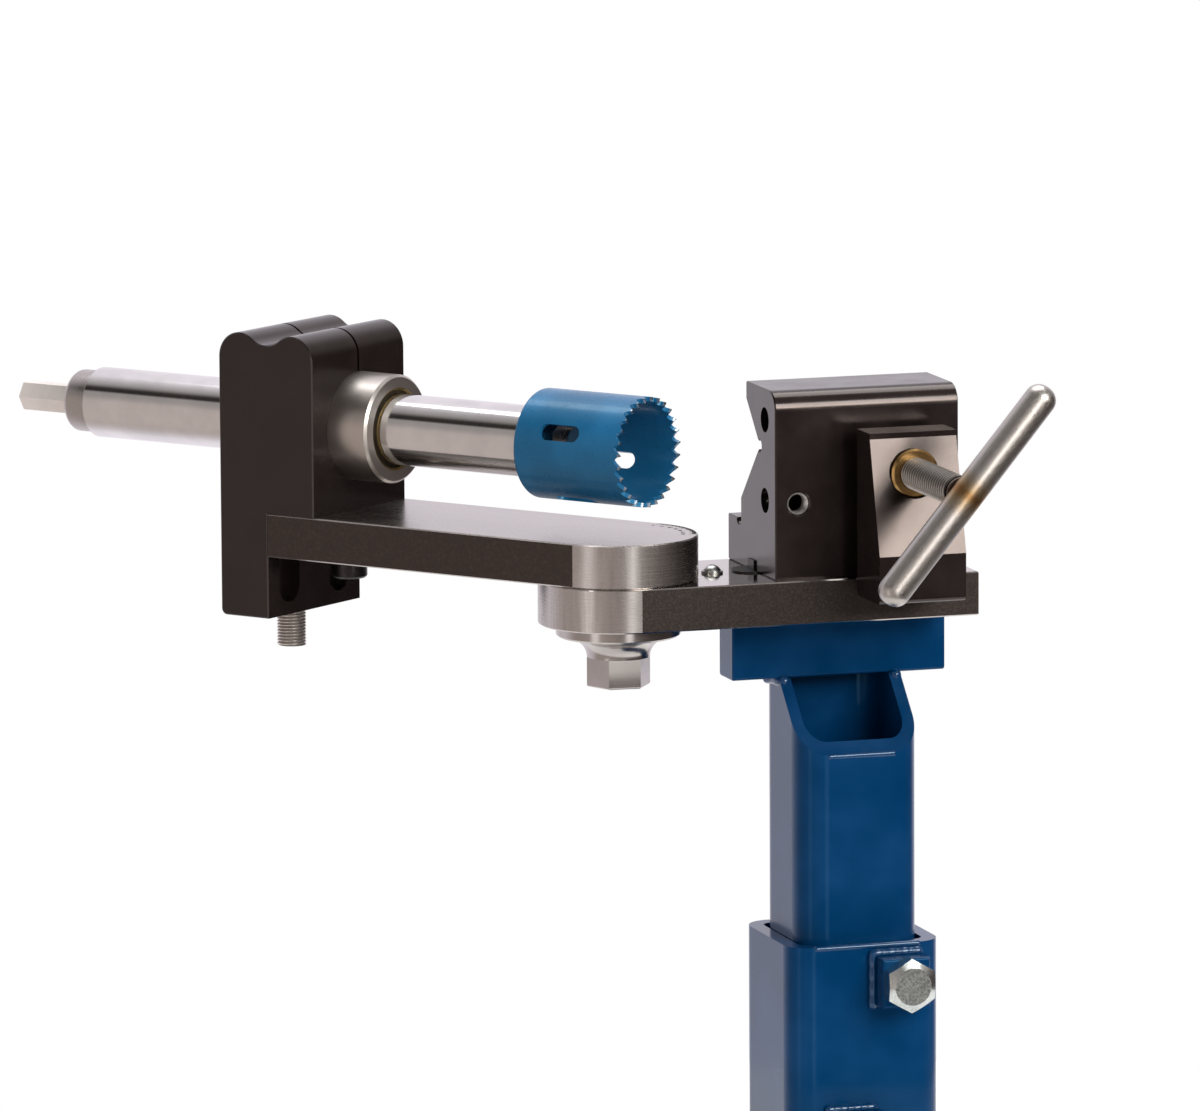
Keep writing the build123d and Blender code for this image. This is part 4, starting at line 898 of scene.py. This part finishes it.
class NOTCHER_OT_welds(bpy.types.Operator):
    """Lays the weld beads on the receiver, the foot and the bar, and dresses the tubes' upper edges"""

    bl_idname = "notcher.welds"
    bl_label = "Weld beads"

    def execute(self, context):
        paint = gloss_paint("weld_paint", context.scene.notcher_paint.post, 1.0)
        hand_over(self.nut_beads(), "nut_weld_beads", "stand", paint, "blue_paint", "nut_welds")
        hand_over(self.foot_beads(), "foot_weld_beads", "stand", paint, "blue_paint", "foot_welds")
        hand_over(self.bar_beads(), "bar_weld_beads", "head", paint, "blue_paint", "bar_welds")
        for node, body, half in (("post_tube", "head", 12.9 * MM), ("receiver_tube", "stand", 20.8 * MM)):
            hand_over(self.lip(node, half), node + "_lip", body, paint, "blue_paint")
        return {"FINISHED"}

    def nut_beads(self):
        """Beads along the left and the upper side of each weld nut."""
        places = [Vector(JOINTS[name]["pos_m"]) for name in ("upper_bolt_turn", "lower_bolt_turn")]
        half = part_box("lock_nuts")[1].z - places[0].z
        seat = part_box("nut_welds")[1].y - 1.0 * MM
        beside, above, short, pitch = 1.0 * MM, 0.9 * MM, 2 * MM, 0.9 * MM
        beads = []
        for number, place in enumerate(places):
            left, right = place.x - half - beside, place.x + half - short
            bottom, top = place.z - half, place.z + half + above
            beads.append(weld_bead((left, seat, bottom), (left, seat, top), 2.0 * MM, pitch, number))
            beads.append(weld_bead((left, seat, top), (right, seat, top), 1.9 * MM, pitch, number + 3))
        return join(beads)

    def foot_beads(self):
        """Beads round the receiver's foot, one on each side."""
        low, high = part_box("receiver_tube")
        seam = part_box("foot_plate")[1].z + 1.0 * MM
        inset, outside = 8 * MM, 1.0 * MM
        beads = []
        for number in range(4):
            turn = Matrix.Rotation(number * math.pi / 2, 4, "Z")
            start = turn @ Vector((low.x + inset, low.y - outside, seam))
            end = turn @ Vector((high.x - inset, low.y - outside, seam))
            beads.append(weld_bead(start, end, 3.0 * MM, 2.0 * MM, number))
        return join(beads)

    def bar_beads(self):
        """Beads between the top bar and the post, one at each end, slanting inwards to the front."""
        low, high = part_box("bar_welds")
        inwards, slant, outside, sunk = 6.5 * MM, 3.0 * MM, 2.2 * MM, 1.0 * MM
        beads = []
        for number, (x, side) in enumerate(((low.x, 1), (high.x, -1))):
            seam = x + side * inwards
            start = Vector((seam, low.y - outside, high.z - sunk))
            end = Vector((seam - side * slant, high.y, high.z - sunk))
            beads.append(weld_bead(start, end, 2.4 * MM, 1.5 * MM, number))
        return join(beads)

    def lip(self, node, half):
        """The dressed upper edge of a tube's front wall, as far as half to either side of the middle."""
        radius, set_in, set_down = 1.3 * MM, 0.9 * MM, 0.7 * MM
        deep, wide = 0.1 * MM, half + 0.6 * MM
        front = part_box(node)[0].y
        corners = [corner.co for corner in NODES[node].data.vertices]
        edge = max(point.z for point in corners if point.y < front + deep and abs(point.x) < wide)
        long = 2 * (half + 0.3 * MM)
        turns = [step * math.pi / 16 for step in range(9)]
        outline = [(radius * math.sin(turn), 0, -radius * math.cos(turn)) for turn in turns]
        outline += [(radius * math.cos(turn), 0, long + radius * math.sin(turn)) for turn in turns]
        rod = wind(draw_line(outline), steps=24)
        aim(rod, (-long / 2, front + set_in, edge - set_down), (1, 0, 0))
        smooth(rod, 60)
        return rod


class NOTCHER_OT_scale(bpy.types.Operator):
    """Engraves a degree scale round the arm's end, read at the pointer"""

    bl_idname = "notcher.scale"
    bl_label = "Degree scale"

    def execute(self, context):
        sizes = context.scene.notcher_scale
        ink = plated("scale_ink", (0.03, 0.028, 0.026), 0.5)
        lo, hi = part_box("pointer_blade")
        pointer = (lo + hi) / 2 - PIVOT
        # The notch angle of the arm at rest, which the pointer shows there.
        rest_reading = math.degrees(ARM_TURN) - 90
        zero = math.atan2(pointer.y, pointer.x) + math.radians(rest_reading)
        rim, line, skin = 31.0 * MM, 0.16 * MM, 0.03 * MM
        marks = []
        for degree in range(0, sizes.last + 1):
            turn = zero - math.radians(degree)
            tick = sizes.tick * (1.8 if degree % 10 == 0 else 1.4 if degree % 5 == 0 else 1.0)
            deselect()
            bpy.ops.mesh.primitive_plane_add(size=1)
            mark = bpy.context.object
            mark.scale = (tick, line, 1)
            mark.rotation_euler = (0, 0, turn)
            mark.location = self.on_top(turn, rim - tick / 2)
            marks.append(mark)
            if degree % 10 == 0:
                marks.append(self.figure(str(degree), turn, rim - sizes.tick * 3.2, sizes.figure))
        piece = join(marks)
        fix(piece)
        face_outwards(piece)
        modify(piece, "SOLIDIFY", thickness=skin, offset=0)
        hand_over(piece, "arm_scale", "arm", ink, "black_oxide")
        return {"FINISHED"}

    def on_top(self, turn, radius):
        """The point just above the arm that is in this direction and as far from the pivot."""
        lift = 0.02 * MM
        return (PIVOT.x + radius * math.cos(turn), PIVOT.y + radius * math.sin(turn), ARM_TOP + lift)

    def figure(self, words, turn, radius, height):
        """A figure whose foot is towards the pivot."""
        deselect()
        bpy.ops.object.text_add(radius=height)
        text = bpy.context.object
        text.data.body = words
        text.data.align_x = "CENTER"
        text.data.align_y = "CENTER"
        bpy.ops.object.convert(target="MESH")
        text = bpy.context.object
        text.rotation_euler = (0, 0, turn + math.pi / 2)
        text.location = self.on_top(turn, radius)
        return text


def soft_box(name, place, target, width, height, power, tint=(1, 1, 1)):
    """A soft light at a place, aimed at a target."""
    deselect()
    bpy.ops.object.light_add(type="AREA", location=place)
    lamp = bpy.context.object
    lamp.name = name
    lamp.data.shape = "RECTANGLE"
    lamp.data.size = width
    lamp.data.size_y = height
    lamp.data.energy = power
    lamp.data.color = tint
    lamp.rotation_euler = (Vector(target) - Vector(place)).to_track_quat("-Z", "Y").to_euler()


class NOTCHER_OT_stage(bpy.types.Operator):
    """Sets the pale floor, the studio light and the camera"""

    bl_idname = "notcher.stage"
    bl_label = "Stage"

    def execute(self, context):
        self.floor()
        self.studio(context.scene)
        self.camera(context.scene)
        return {"FINISHED"}

    def floor(self):
        radius, drop = 0.36, 0.2 * MM
        deselect()
        bpy.ops.mesh.primitive_circle_add(vertices=96, radius=radius, fill_type="NGON", location=(0, 0, -drop))
        floor = bpy.context.object
        floor.name = "floor"
        white = (1, 1, 1)
        pale = Finish("pale_floor", (0.8, 0.8, 0.8), roughness=0.6, Emission_Color=white, Emission_Strength=0.2)
        floor.data.materials.append(pale.material)

    def studio(self, scene):
        """Soft boxes, and a room that only reflections see. The camera sees white instead."""
        centre = (-0.03, 0.03, 0.28)
        soft_box("overhead", (0.05, 0.45, 1.9), centre, 1.6, 1.1, 22)
        soft_box("front_high", (0.62, -1.55, 1.25), centre, 1.2, 0.42, 17.5)
        soft_box("front_low", (0.64, -1.72, 0.86), centre, 1.2, 0.36, 20.0, (1, 0.95, 0.9))
        soft_box("front_panel", (0.02, -1.9, 0.12), centre, 0.42, 1.2, 2.1)
        soft_box("left_panel", (-1.5, -0.8, 0.12), centre, 0.4, 1.2, 1.3)
        world = bpy.data.worlds.new("studio")
        scene.world = world
        world.use_nodes = True
        room = Graph(world.node_tree)
        direction = room.tree.nodes.new("ShaderNodeTexCoord").outputs["Generated"]
        x, y, z = [room.axis(direction, name) for name in "XYZ"]
        grey, dark = (0.34, 0.32, 0.31), (0.02, 0.016, 0.015)
        leftwards = room.span(x, 0.75, -0.9)
        low_wall = room.blend(leftwards, (0.075, 0.06, 0.055), (0.55, 0.475, 0.45))
        ceiling = room.blend(room.span(z, 0.66, 0.78), room.blend(leftwards, grey, dark), grey)
        high_wall = room.blend(room.span(z, 0.52, 0.57), (0.36, 0.335, 0.325), ceiling)
        near = room.blend(room.span(z, 0.1, 0.45), low_wall, high_wall)
        walls = room.blend(room.span(y, 0.2, 0.7), near, (0.95, 0.9, 0.97))
        seen = room.tree.nodes.new("ShaderNodeLightPath").outputs["Is Camera Ray"]
        background = room.tree.nodes["Background"]
        room.feed(background.inputs["Color"], room.blend(seen, walls, (1, 1, 1)))
        background.inputs["Strength"].default_value = 1.0
        scene.view_settings.view_transform = "Standard"
        scene.view_settings.look = "None"

    def camera(self, scene):
        """The photograph's camera, as it was solved from measured edges."""
        deselect()
        bpy.ops.object.camera_add(location=(-1.3143, -3.8760, 0.9201))
        camera = bpy.context.object
        camera.name = "photo_angle"
        turn = Matrix.Rotation(math.radians(-17.39), 4, "Z")
        tilt = Matrix.Rotation(math.radians(90 - 8.91), 4, "X")
        roll = Matrix.Rotation(math.radians(-0.33), 4, "Z")
        camera.rotation_euler = (turn @ tilt @ roll).to_euler()
        camera.data.sensor_fit = "HORIZONTAL"
        camera.data.sensor_width = 36
        camera.data.lens = 312.945
        camera.data.clip_end = 50
        scene.camera = camera


class NOTCHER_PT_panel(bpy.types.Panel):
    """Shows the notcher's settings and the buttons for its steps, the stage among them"""

    bl_label = "Tube notcher"
    bl_idname = "NOTCHER_PT_panel"
    bl_space_type = "VIEW_3D"
    bl_region_type = "UI"
    bl_category = "Notcher"

    def draw(self, context):
        layout = self.layout
        for group in GROUPS:
            settings = getattr(context.scene, group)
            for name in settings.__annotations__:
                layout.prop(settings, name)
        for step in STEPS:
            layout.operator(step.bl_idname)


GROUPS = {
    "notcher_paint": NotcherPaint,
    "notcher_metal": NotcherMetal,
    "notcher_drive": NotcherDrive,
    "notcher_threads": NotcherThreads,
    "notcher_scale": NotcherScale,
}
STEPS = (
    NOTCHER_OT_stage,
    NOTCHER_OT_paintwork,
    NOTCHER_OT_anodising,
    NOTCHER_OT_plates,
    NOTCHER_OT_spindle,
    NOTCHER_OT_clamp,
    NOTCHER_OT_fasteners,
    NOTCHER_OT_welds,
    NOTCHER_OT_scale,
)


def register():
    for group in GROUPS.values():
        bpy.utils.register_class(group)
    for step in STEPS:
        bpy.utils.register_class(step)
    bpy.utils.register_class(NOTCHER_PT_panel)
    for name, group in GROUPS.items():
        setattr(bpy.types.Scene, name, bpy.props.PointerProperty(type=group))


def unregister():
    for name in GROUPS:
        delattr(bpy.types.Scene, name)
    bpy.utils.unregister_class(NOTCHER_PT_panel)
    for step in reversed(STEPS):
        bpy.utils.unregister_class(step)
    for group in reversed(list(GROUPS.values())):
        bpy.utils.unregister_class(group)


def main():
    register()
    bpy.ops.notcher.stage()
    bpy.ops.notcher.paintwork()
    bpy.ops.notcher.anodising()
    bpy.ops.notcher.plates()
    bpy.ops.notcher.spindle()
    bpy.ops.notcher.clamp()
    bpy.ops.notcher.fasteners()
    bpy.ops.notcher.welds()
    bpy.ops.notcher.scale()


if __name__ == "__main__":
    main()
